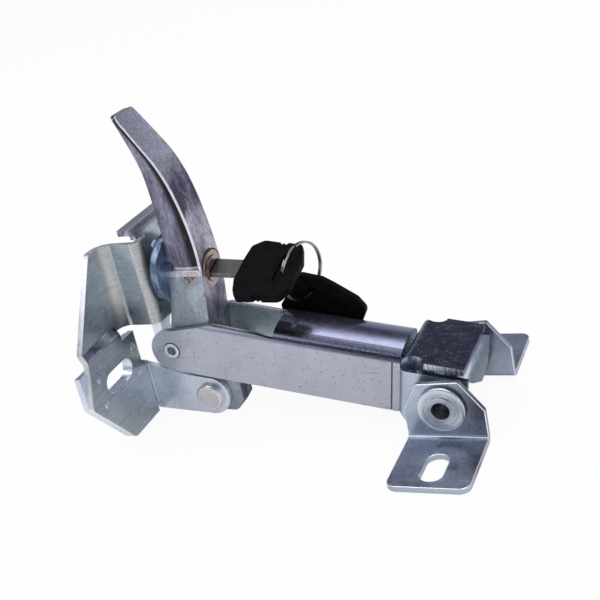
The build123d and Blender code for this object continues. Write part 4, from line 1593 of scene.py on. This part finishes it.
        # Faces inside the keyway take the near-black material: painted shade in the recess.
        for face in core.data.polygons:
            local = Vector(face.center) / MM - key.origin
            out, across, up = local.dot(key.x), local.dot(key.y), local.dot(key.z)
            if -3.4 < out < -0.03 and abs(across) < 5.35 and abs(up) < 2.1:
                face.material_index = 1

    def drum(self, bench: Bench) -> None:
        """Turns the drum behind the lock and the boss that carries it.

        Args:
            bench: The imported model, where the pieces go.
        """
        bm = bmesh.new()
        r = self.drum_r
        start, end = -self.drum_from, -self.drum_to
        profile = [
            (start + 3, 8.6),
            (start, 8.6),
            (start, 9.2),
            (start, r - 1.0),
            (start - 0.3, r - 0.3),
            (start - 1.0, r),
            (end + 1.2, r),
            (end + 0.35, r - 0.35),
            (end, r - 1.3),
            (end, 6.5),
            (end + 2, 6.5),
        ]
        lathe(bm, LOCK, profile, 72)
        bench.put("lock_drum", bm, "handle", DRUM_ZINC, (), Edging(0.0))

    def lock_face(self, bench: Bench) -> None:
        """Turns the lock's rimmed sleeve, with the dark joint round it.

        Args:
            bench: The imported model, where the pieces go.
        """
        bm = bmesh.new()
        profile = [
            (-23.0, 5.66),
            (-23.0, 6.4),
            (-1.2, 6.4),
            (-1.2, 8.75),
            (0.08, 8.7),
            (0.10, 8.1),
            (0.26, 8.02),
            (0.38, 7.85),
            (0.38, 5.85),
            (0.30, 5.74),
            (-20.0, 5.66),
        ]
        lathe(bm, LOCK, profile, 72)
        sleeve = bench.put("lock_sleeve", bm, "handle", LOCK_NICKEL, ("lock_barrel",), Edging(0.0))
        sleeve.data.materials.append(DARK_JOINT_AND_SHADE.material())
        for face in sleeve.data.polygons:
            local = Vector(face.center) / MM - LOCK.origin
            out = (local - LOCK.x * local.dot(LOCK.x)).length
            if 8.06 < out < 8.72:
                face.material_index = 1


@dataclass
class KeySet:
    """Key in the lock, spare key and the split ring that joins them.

    Args:
        outline: Grip seen from above: out from the lock's face, across, and corner radius.
        thick: Thickness of a grip.
        slot_u: Place of the ring slot's middle line.
        slot_v: Lowest and highest place of the ring slot's centres.
        slot_r: Half the slot's width.
        slot_floor: Half thickness left in the slot.
        hole_r: Radius of the ring's hole.
        main_hole: Place of the ring's hole in the main grip, out and across.
        spare_hole: The same for the spare grip.
        reach: How far a grip reaches from the lock's face.
        spare_end: Top end of the spare key.
        spare_slope: Lean of the spare key in degrees.
        ring_at: The ring's centre.
        ring_axis: Direction of its axis.
        ring_end: Direction from its centre to the ends of its coils.
        ring_r: Middle radius of the ring.
        wire_w: Width of one coil.
        wire_t: Thickness of the wire.
        wire_section: Corners of the wire's section, as shares of half its width and thickness.
        ring_gap: Angle left open at each end of the coils.
        ring_steps: Pieces that both coils are made of.
    """

    outline: tuple[tuple[float, float, float], ...] = (
        (14.0, -8.4, 3.0),
        (15.8, -14.6, 3.0),
        (17.9, -18.9, 2.6),
        (25.9, -18.5, 0.2),
        (26.5, -17.5, 0.35),
        (27.3, -17.4, 0.35),
        (27.8, -18.4, 0.3),
        (28.4, -17.5, 0.35),
        (29.2, -17.5, 0.35),
        (29.8, -18.3, 0.2),
        (37.6, -17.9, 3.4),
        (40.2, -12.0, 3.0),
        (40.8, 0.0, 4.0),
        (40.8, 5.6, 2.6),
        (37.6, 15.5, 2.4),
        (30.9, 16.4, 0.2),
        (30.2, 15.3, 0.35),
        (29.4, 15.3, 0.35),
        (28.8, 16.3, 0.3),
        (28.2, 15.4, 0.35),
        (27.5, 15.4, 0.35),
        (27.0, 16.5, 0.2),
        (19.3, 17.6, 3.0),
        (14.4, 13.6, 3.4),
        (13.8, 4.0, 4.0),
    )
    thick: float = 3.6
    slot_u: float = 33.0
    slot_v: tuple[float, float] = (-7.4, 6.9)
    slot_r: float = 1.9
    slot_floor: float = 0.7
    hole_r: float = 0.9
    main_hole: tuple[float, float] = (33.74, -1.84)
    spare_hole: tuple[float, float] = (33.8, 7.0)
    reach: float = 40.8
    spare_end: tuple[float, float, float] = (94.1, 15.4, 19.9)
    spare_slope: float = 32.5
    ring_at: tuple[float, float, float] = (83.4, 9.6, 28.9)
    ring_axis: tuple[float, float, float] = (0.947, -0.312, -0.073)
    ring_end: tuple[float, float, float] = (-0.07, -0.44, 0.89)
    ring_r: float = 12.6
    wire_w: float = 0.82
    wire_t: float = 0.9
    wire_section: tuple[tuple[float, float], ...] = (
        *((-1.0, -0.5), (-0.6, -1.0), (0.6, -1.0), (1.0, -0.5)),
        *((1.0, 0.5), (0.6, 1.0), (-0.6, 1.0), (-1.0, 0.5)),
    )
    ring_gap: float = 0.32
    ring_steps: int = 200

    def build(self, bench: Bench) -> None:
        """Makes both keys and the ring.

        Args:
            bench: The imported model, where the pieces go.
        """
        main = key_frame()
        a = math.radians(self.spare_slope)
        out, side = Vector((math.sin(a), 0, math.cos(a))), Vector((-math.cos(a), 0, math.sin(a)))
        spare = Frame(Vector(self.spare_end) - out * self.reach, out, side, out.cross(side))
        bench.dress("main_key_blade", "key_blade", "lock", KEY_NICKEL, Edging(0.2))
        bench.dress("spare_blade", "spare_key_blade", "lock", KEY_NICKEL, Edging(0.2))
        self.grip(bench, "main_key_grip", "key_head", main, self.main_hole)
        self.grip(bench, "spare_key_grip", "spare_key_head", spare, self.spare_hole)
        self.ring(bench)

    def stadium(self, r: float, steps: int = 10) -> list[tuple[float, float]]:
        """Outline of the ring slot with a half width.

        Args:
            r: Half its width.
            steps: Pieces that each rounded end is made of.

        Returns:
            The points.
        """
        low, high = self.slot_v
        made = []
        for centre, start in ((high, 0.0), (low, math.pi)):
            for k in range(steps + 1):
                a = start + math.pi * k / steps
                made.append((self.slot_u + r * math.cos(a), centre + r * math.sin(a)))
        return made

    def grip(
        self, bench: Bench, name: str, node: str, frame: Frame, hole: tuple[float, float]
    ) -> None:
        """Moulds one grip with rounded edges, a blind slot each side and the ring's hole.

        Args:
            bench: Where the piece goes.
            name: Name of the piece.
            node: CAD node it replaces.
            frame: The key's frame.
            hole: Place of the ring's hole, out and across.
        """
        bm = bmesh.new()
        half = self.thick / 2
        outer = rounded(list(self.outline))
        lower = [(0.30, -half), (0.14, -half + 0.08), (0.04, -half + 0.22), (0.0, -half + 0.4)]
        upper = [(inset, -z) for inset, z in reversed(lower)]
        rows = []
        for inset, z in lower + upper:
            rows.append(ring_of(bm, [frame.at(u, v, z) for u, v in inset_outline(outer, inset)]))
        skin(bm, rows)
        holes = []
        for side, row in ((-1, rows[0]), (1, rows[-1])):
            slots = []
            for grow, z in (
                (0.35, half), (0.1, half - 0.12), (0.0, half - 0.4), (0.0, self.slot_floor)
            ):
                slots.append(
                    ring_of(
                        bm, [frame.at(u, v, side * z) for u, v in self.stadium(self.slot_r + grow)]
                    )
                )
            skin(bm, slots)
            fill(bm, row, slots[0])
            turn = [2 * math.pi * k / 16 for k in range(16)]
            r = self.hole_r
            places = [(hole[0] + r * math.cos(a), hole[1] + r * math.sin(a)) for a in turn]
            rim = ring_of(bm, [frame.at(u, v, side * self.slot_floor) for u, v in places])
            fill(bm, slots[-1], rim)
            holes.append(rim)
        skin(bm, holes)
        rib = rounded([(28.9, -7.0, 0.3), (29.6, -7.0, 0.3), (29.6, 6.5, 0.3), (28.9, 6.5, 0.3)], 3)
        rib_rows = []
        for inset, z in ((0, half - 0.2), (0, half + 0.12), (0.12, half + 0.22)):
            places = [frame.at(u, v, z) for u, v in inset_outline(rib, inset)]
            rib_rows.append(ring_of(bm, places))
        skin(bm, rib_rows)
        cap(bm, rib_rows[-1])
        cap(bm, list(reversed(rib_rows[0])))
        bench.put(name, bm, "lock", KEY_PLASTIC, (node,), Edging(0.0, 1, 40.0))

    def ring(self, bench: Bench) -> None:
        """Winds the split ring of two coils through both grips.

        Args:
            bench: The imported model, where the pieces go.
        """
        centre, normal = Vector(self.ring_at), Vector(self.ring_axis).normalized()
        lean = Vector(self.ring_end)
        lean = (lean - normal * lean.dot(normal)).normalized()
        along = normal.cross(lean)
        bm = bmesh.new()
        rows = []
        w, t = self.wire_w / 2, self.wire_t / 2
        for i in range(self.ring_steps + 1):
            a = self.ring_gap + (4 * math.pi - 2 * self.ring_gap) * i / self.ring_steps
            shift = min(1.0, max(0.0, (a - 2 * math.pi + 0.22) / 0.44))
            middle = self.wire_w * 0.53 * (2 * shift * shift * (3 - 2 * shift) - 1)
            out = lean * math.cos(a) + along * math.sin(a)
            row = []
            for wide, thick in self.wire_section:
                row.append(centre + out * (self.ring_r + thick * t) + normal * (middle + wide * w))
            rows.append(ring_of(bm, row))
        skin(bm, rows)
        cap(bm, list(reversed(rows[0])))
        cap(bm, rows[-1])
        bench.put("key_ring", bm, "lock", RING_STEEL, ("split_ring",), Edging(0.0, 1, 50.0))


@dataclass
class TensionArm:
    """Arm housing with its hollow rivet, spring and sliding rod.

    Args:
        roof_x: Where the roof starts, along the arm.
        half: Half the housing's width.
        spring_z: Height at which the roof's arch starts.
        corner: Radius of the plain corner that the arch replaces, which is its rise too.
        seam_x: Place of the seam where the wall meets the end plate.
        seam_w: Width of the seam.
        arch_cuts: Distances from the middle at which the roof is cut to be arched.
        travel: Room left in front of the spring for the rod's full travel.
    """

    roof_x: float = 48.3
    half: float = 13.05
    spring_z: float = 13.8
    corner: float = 5.6
    seam_x: float = 100.7
    seam_w: float = 0.75
    arch_cuts: tuple[float, ...] = (0.0, 1.9, 3.7, 5.5, 7.45, 9.2, 10.4, 11.4, 12.2, 12.7)
    travel: float = 9.3

    def build(self, bench: Bench) -> None:
        """Makes the housing and everything in it.

        Args:
            bench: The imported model, where the pieces go.
        """
        self.channel(bench)
        bench.dress("hollow_rivet", "arm_rivet", "arm", EDGE_PAINTED_HIGHLIGHT_ZINC, Edging(0.16))
        self.rivet_gap(bench)
        self.spring(bench)
        bench.dress("threaded_rod", "tension_rod", "yoke", PART_ZINC, Edging(0.1))
        bench.dress("rod_end_nut", "rod_nut", "yoke", PART_ZINC, Edging(0.3))
        bench.dress("spring_washer", "spring_seat", "yoke", PART_ZINC, Edging(0.2))

    def spring(self, bench: Bench) -> None:
        """Makes the spring as short as the rod's full travel leaves it.

        The nut and the washer on the rod then never run into its coils.

        Args:
            bench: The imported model, where the pieces go.
        """
        bm = bench.node_mesh("tension_spring")
        places = [(vert.co - ARM.origin).dot(ARM.x) for vert in bm.verts]
        fixed, free = max(places), min(places)
        for vert, along in zip(bm.verts, places):
            vert.co += ARM.x * (self.travel * (fixed - along) / (fixed - free))
        bench.put("coil_spring", bm, "arm", SPRING_STEEL, ("tension_spring",), Edging(0.0))

    def rivet_gap(self, bench: Bench) -> None:
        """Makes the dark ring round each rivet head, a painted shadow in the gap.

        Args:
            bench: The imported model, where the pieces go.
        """
        bm = bmesh.new()
        for side in (-1, 1):
            frame = Frame(ARM.origin, Vector((0, side, 0)), Vector((1, 0, 0)), Vector((0, 0, 1)))
            inside, outside = self.half - 0.2, self.half + 0.04
            lathe(bm, frame, [(inside, 3.5), (outside, 3.5), (outside, 4.0), (inside, 4.0)], 40)
        bench.put("rivet_gap_painted_shadow", bm, "arm", DARK_JOINT_AND_SHADE)

    def arch(self, y: float) -> float:
        """How far the arched roof lies above the plain one at a distance from the middle.

        Args:
            y: The distance, in millimetres.

        Returns:
            The height in millimetres.
        """
        t = min(1.0, abs(y) / self.half)
        flat = self.half - self.corner
        plain = self.corner if abs(y) <= flat else math.sqrt(
            max(0.0, self.corner**2 - (abs(y) - flat) ** 2)
        )
        return self.corner * math.sqrt(1 - t * t) - plain

    def channel(self, bench: Bench) -> None:
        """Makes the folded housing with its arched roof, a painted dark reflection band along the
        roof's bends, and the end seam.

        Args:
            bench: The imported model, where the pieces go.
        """
        bm = bench.node_mesh("arm_housing")
        for y in sorted({side * place for side in (-1, 1) for place in self.arch_cuts}):
            cut(bm, Vector((0, y, 0)), Vector((0, 1, 0)))
        low = self.spring_z + 0.4
        end = self.seam_x + self.seam_w
        for x in (self.seam_x, self.seam_x + 0.2, end - 0.2, end):
            cut(bm, ARM.at(x, 0, 0), ARM.x)
        for z in (low - 1.6, low - 0.7):
            cut(bm, ARM.at(0, 0, z), ARM.z)
        stain_and_shade = bm.verts.layers.float.new(SEAM_AND_SHADE_MASK)
        for vert in bm.verts:
            place = vert.co - ARM.origin
            along, up = place.dot(ARM.x), place.dot(ARM.z)
            side = abs(vert.co.y)
            # The roof's bends are marked for a painted dark reflection band.
            if along > self.roof_x - 0.5 and up > low - 0.8 and side > 11.2:
                vert[stain_and_shade] = 1.0
            elif along > self.roof_x - 0.5 and up > low and side > 9.0:
                vert[stain_and_shade] = 0.92
            if along > self.roof_x - 1 and up > self.spring_z:
                vert.co += ARM.z * self.arch(vert.co.y)
            in_seam = self.seam_x + 0.1 < along < end - 0.1
            if in_seam and up < low - 0.5 and side > self.half - 0.6:
                vert.co.y -= math.copysign(0.45, vert.co.y)
                vert[stain_and_shade] = 1.0
        channel = bench.put(
            "arm_channel", bm, "arm", ARM_ZINC, ("arm_housing",), Edging(0.35, 2, 40.0), EDGE_PAINTED_HIGHLIGHT_ZINC
        )
        # The roof takes a darker copy of the plating and the inner faces a lighter one: painted
        # shade and painted light.
        for finish in (ROOF_PAINTED_DARK_ZINC, INNER_PAINTED_LIGHT_ZINC):
            channel.data.materials.append(finish.material())
        for face in channel.data.polygons:
            place = face.center / MM - ARM.origin
            along, up = place.dot(ARM.x), place.dot(ARM.z)
            inward = face.normal.y * place.y < 0 and abs(face.normal.y) > 0.3
            if along > self.roof_x - 0.2 and up > self.spring_z - 0.3 and not inward:
                face.material_index = 2
            elif inward and abs(place.y) < self.half - 1:
                face.material_index = 3


@dataclass
class YokeAndCatches:
    """Yoke, cross pivot and the two slotted catch brackets.

    Args:
        tube_r: Radius of the cross tube.
        striped_x: Place from which the yoke's sheared edge shows its stripes.
        striped_z: Height from which it does.
        small: Area in square millimetres below which a face is an edge or a bend.
    """

    tube_r: float = 5.0
    striped_x: float = 136.8
    striped_z: float = -10.0
    small: float = 90.0

    def build(self, bench: Bench) -> None:
        """Makes the yoke, the pivot and the catches.

        Args:
            bench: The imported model, where the pieces go.
        """
        yoke = bench.dress(
            "folded_yoke", "yoke", "yoke", YOKE_PAINTED_DARK_ZINC, Edging(0.35, 2, 30.0), EDGE_PAINTED_HIGHLIGHT_ZINC
        )
        for finish in (SHEAR_ZINC, YOKE_SIDE_PAINTED_LIGHT_ZINC, YOKE_NECK_PAINTED_SHADE_ZINC):
            yoke.data.materials.append(finish.material())
        # Faces by facing: walls lighter, the neck darker, the top near-black: painted light and
        # shade.
        for face in yoke.data.polygons:
            small = face.area < self.small * MM * MM and face.center.z > self.striped_z * MM
            if abs(face.normal.y) > 0.8 and small and face.center.x > self.striped_x * MM:
                face.material_index = 2
            elif face.normal.x < -0.5 or (small and abs(face.normal.y) > 0.3):
                face.material_index = 4
            elif abs(face.normal.y) > 0.8:
                face.material_index = 3
        bench.dress("yoke_end_nut", "yoke_nut", "yoke", PART_ZINC, Edging(0.3))
        bench.dress("pivot_tube", "cross_tube", "yoke", PART_ZINC, Edging(0.2))
        for side in ("near", "far"):
            bench.dress(f"{side}_spacer_washer", f"{side}_spacer", "yoke", PART_ZINC, Edging(0.2))
            self.pivot_washer(bench, side)
            bench.dress(
                f"{side}_catch_plate",
                f"{side}_catch_bracket",
                f"{side}_catch",
                CATCH_ZINC,
                Edging(0.35, 2, 30.0),
                EDGE_PAINTED_HIGHLIGHT_ZINC,
            )

    def pivot_washer(self, bench: Bench, side: str) -> None:
        """Turns one pivot washer, undercut next to the catch, with a raised hub.

        Args:
            bench: Where the piece goes.
            side: Near or far.
        """
        low, high = (Vector(corner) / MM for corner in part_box(f"{side}_pivot_head"))
        way = -1 if side == "near" else 1
        inner = low.y if side == "far" else high.y
        t = high.y - low.y
        frame = Frame(
            Vector((CROSS.origin.x, inner, CROSS.origin.z)),
            Vector((0, way, 0)),
            Vector((1, 0, 0)),
            Vector((0, 0, 1)),
        )
        r = (high.z - low.z) / 2
        profile = [
            (0.0, self.tube_r + 0.06),
            (0.0, r - 1.3),
            (0.55, r - 1.2),
            (0.75, r - 0.25),
            (1.0, r),
            (t - 0.5, r),
            (t - 0.12, r - 0.3),
            (t, r - 0.8),
            (t - 0.02, self.tube_r + 2.3),
            (t - 0.28, self.tube_r + 2.1),
            (t - 0.28, self.tube_r + 1.75),
            (t - 0.02, self.tube_r + 1.6),
            (t - 0.02, self.tube_r + 0.06),
            (0.0, self.tube_r + 0.06),
        ]
        bm = bmesh.new()
        lathe(bm, frame, profile, 72)
        bench.put(
            f"{side}_pivot_washer",
            bm,
            "yoke",
            PART_ZINC,
            (f"{side}_pivot_head",),
            Edging(0.0, 1, 40.0),
        )


@dataclass
class Studio:
    """Pale floor, soft light and the photograph's camera.

    Args:
        lens: Focal length in millimetres.
        camera_at: Place of the camera in millimetres.
        right: The camera's right.
        up: The camera's up.
        back: Direction from the object to the camera.
        floor_half: Half the floor's width in metres.
        floor_drop: How far it lies below the latch, in metres.
        floor_white: How much of the floor's own white the camera sees.
        floor_mirrored: How much of it is seen in the metal.
        aim: Place in metres that the lamps face.
    """

    lens: float = 66.0
    camera_at: tuple[float, float, float] = (275.12, -382.83, 202.67)
    right: tuple[float, float, float] = (0.91161, 0.35681, -0.20411)
    up: tuple[float, float, float] = (0.02768, 0.44207, 0.89654)
    back: tuple[float, float, float] = (0.41013, -0.82292, 0.39315)
    floor_half: float = 3.0
    floor_drop: float = 0.00015
    floor_white: float = 0.93
    floor_mirrored: float = 0.1
    aim: tuple[float, float, float] = (0.08, 0.0, 0.0)

    def build(self) -> None:
        """Makes the camera, the floor, the world and the lamps."""
        self.camera()
        self.floor()
        self.world()
        self.lamp("key_panel", (-0.45, -0.55, 0.85), (0.9, 0.7), 2.6)
        self.lamp("top_panel", (0.25, 0.10, 0.95), (1.1, 0.5), 2.0)
        self.lamp("fill_panel", (0.95, -0.45, 0.45), (0.7, 0.7), 1.0)

    def camera(self) -> None:
        """Places the camera as it was fitted to the photograph."""
        data = bpy.data.cameras.new("photo_camera")
        data.lens = self.lens
        data.sensor_width = 36.0
        data.clip_start = 0.01
        data.clip_end = 20.0
        camera = bpy.data.objects.new("photo_camera", data)
        bpy.context.scene.collection.objects.link(camera)
        turn = Matrix((self.right, self.up, self.back)).transposed()
        camera.matrix_world = Matrix.Translation(Vector(self.camera_at) * MM) @ turn.to_4x4()
        bpy.context.scene.camera = camera

    def floor(self) -> None:
        """Makes the white floor, which keeps a faint shadow."""
        bm = bmesh.new()
        z, far = GROUND_Z * MM - self.floor_drop, self.floor_half
        square = ((-far, -far), (far, -far), (far, far), (-far, far))
        bm.faces.new([bm.verts.new((x, y, z)) for x, y in square])
        mesh = bpy.data.meshes.new("pale_floor")
        bm.to_mesh(mesh)
        bm.free()
        obj = bpy.data.objects.new("pale_floor", mesh)
        bpy.context.scene.collection.objects.link(obj)
        material = bpy.data.materials.new("pale_floor")
        material.use_nodes = True
        tree = material.node_tree
        tree.nodes.remove(tree.nodes["Principled BSDF"])
        out = tree.nodes["Material Output"]
        matt = tree.nodes.new("ShaderNodeBsdfDiffuse")
        matt.inputs["Color"].default_value = (0.84, 0.84, 0.85, 1)
        glow = tree.nodes.new("ShaderNodeEmission")
        mix = tree.nodes.new("ShaderNodeMixShader")
        light = tree.nodes.new("ShaderNodeLightPath")
        seen = math_node(tree, "MULTIPLY", light.outputs["Is Camera Ray"], self.floor_white)
        mirrored = math_node(tree, "MULTIPLY", light.outputs["Is Glossy Ray"], self.floor_mirrored)
        tree.links.new(math_node(tree, "ADD", seen, mirrored), mix.inputs[0])
        tree.links.new(matt.outputs[0], mix.inputs[1])
        tree.links.new(glow.outputs[0], mix.inputs[2])
        tree.links.new(mix.outputs[0], out.inputs["Surface"])
        mesh.materials.append(material)

    def world(self) -> None:
        """Makes the surroundings: white to the camera, a softly banded studio in the metal."""
        world = bpy.data.worlds.new("studio")
        bpy.context.scene.world = world
        world.use_nodes = True
        tree = world.node_tree
        back = tree.nodes["Background"]
        light = tree.nodes.new("ShaderNodeLightPath")
        place = tree.nodes.new("ShaderNodeTexCoord")
        split = tree.nodes.new("ShaderNodeSeparateXYZ")
        tree.links.new(place.outputs["Generated"], split.inputs[0])
        ramp = tree.nodes.new("ShaderNodeValToRGB")
        stops = (
            (0.0, (0.55, 0.56, 0.58)),
            (0.50, (0.52, 0.53, 0.56)),
            (0.62, (0.44, 0.46, 0.50)),
            (0.69, (0.30, 0.34, 0.42)),
            (0.735, (0.12, 0.12, 0.16)),
            (0.78, (0.05, 0.05, 0.07)),
            (0.85, (0.09, 0.09, 0.12)),
            (0.90, (0.62, 0.64, 0.72)),
            (0.95, (0.98, 0.99, 1.05)),
            (1.0, (0.80, 0.82, 0.88)),
        )
        ramp.color_ramp.elements[0].position = stops[0][0]
        ramp.color_ramp.elements[1].position = stops[-1][0]
        for position, _ in stops[1:-1]:
            ramp.color_ramp.elements.new(position)
        for element, (_, level) in zip(ramp.color_ramp.elements, stops):
            element.color = (*level, 1)
        half = tree.nodes.new("ShaderNodeMapRange")
        tree.links.new(split.outputs["Z"], half.inputs["Value"])
        half.inputs["From Min"].default_value = -1.0
        tree.links.new(half.outputs["Result"], ramp.inputs["Fac"])
        mix = tree.nodes.new("ShaderNodeMix")
        mix.data_type = "RGBA"
        mix.inputs[6].default_value = (0.74, 0.75, 0.77, 1)
        tree.links.new(light.outputs["Is Glossy Ray"], mix.inputs[0])
        tree.links.new(ramp.outputs["Color"], mix.inputs[7])
        final = tree.nodes.new("ShaderNodeMix")
        final.data_type = "RGBA"
        straight = (light.outputs["Is Camera Ray"], light.outputs["Is Transmission Ray"])
        tree.links.new(math_node(tree, "MAXIMUM", *straight), final.inputs[0])
        tree.links.new(mix.outputs[2], final.inputs[6])
        final.inputs[7].default_value = (1, 1, 1, 1)
        tree.links.new(final.outputs[2], back.inputs["Color"])

    def lamp(
        self, name: str, place: tuple[float, float, float], size: tuple[float, float], watts: float
    ) -> None:
        """Hangs one soft panel that faces the latch.

        Args:
            name: Name of the lamp.
            place: Its place in metres.
            size: Its width and height in metres.
            watts: Its power.
        """
        data = bpy.data.lights.new(name, "AREA")
        data.shape = "RECTANGLE"
        data.size, data.size_y = size
        data.energy = watts
        lamp = bpy.data.objects.new(name, data)
        lamp.location = place
        aim = Vector(self.aim) - Vector(place)
        lamp.rotation_euler = aim.to_track_quat("-Z", "Y").to_euler()
        bpy.context.scene.collection.objects.link(lamp)


def main() -> None:
    """Builds the latch and its studio."""
    logging.basicConfig(level=logging.INFO, format="%(name)s: %(message)s")
    bench = Bench(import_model())
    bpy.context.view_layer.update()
    bpy.context.scene.view_settings.view_transform = "Standard"
    Studio().build()
    for assembly in (BasePlate(), Lever(), KeySet(), TensionArm(), YokeAndCatches()):
        assembly.build(bench)
        LOG.info("%s is done", type(assembly).__name__)
    bpy.context.view_layer.update()
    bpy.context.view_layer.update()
    LOG.info("%d pieces made", len(bench.made))


if __name__ == "__main__":
    for known in list(bpy.data.objects):
        bpy.data.objects.remove(known)
    main()
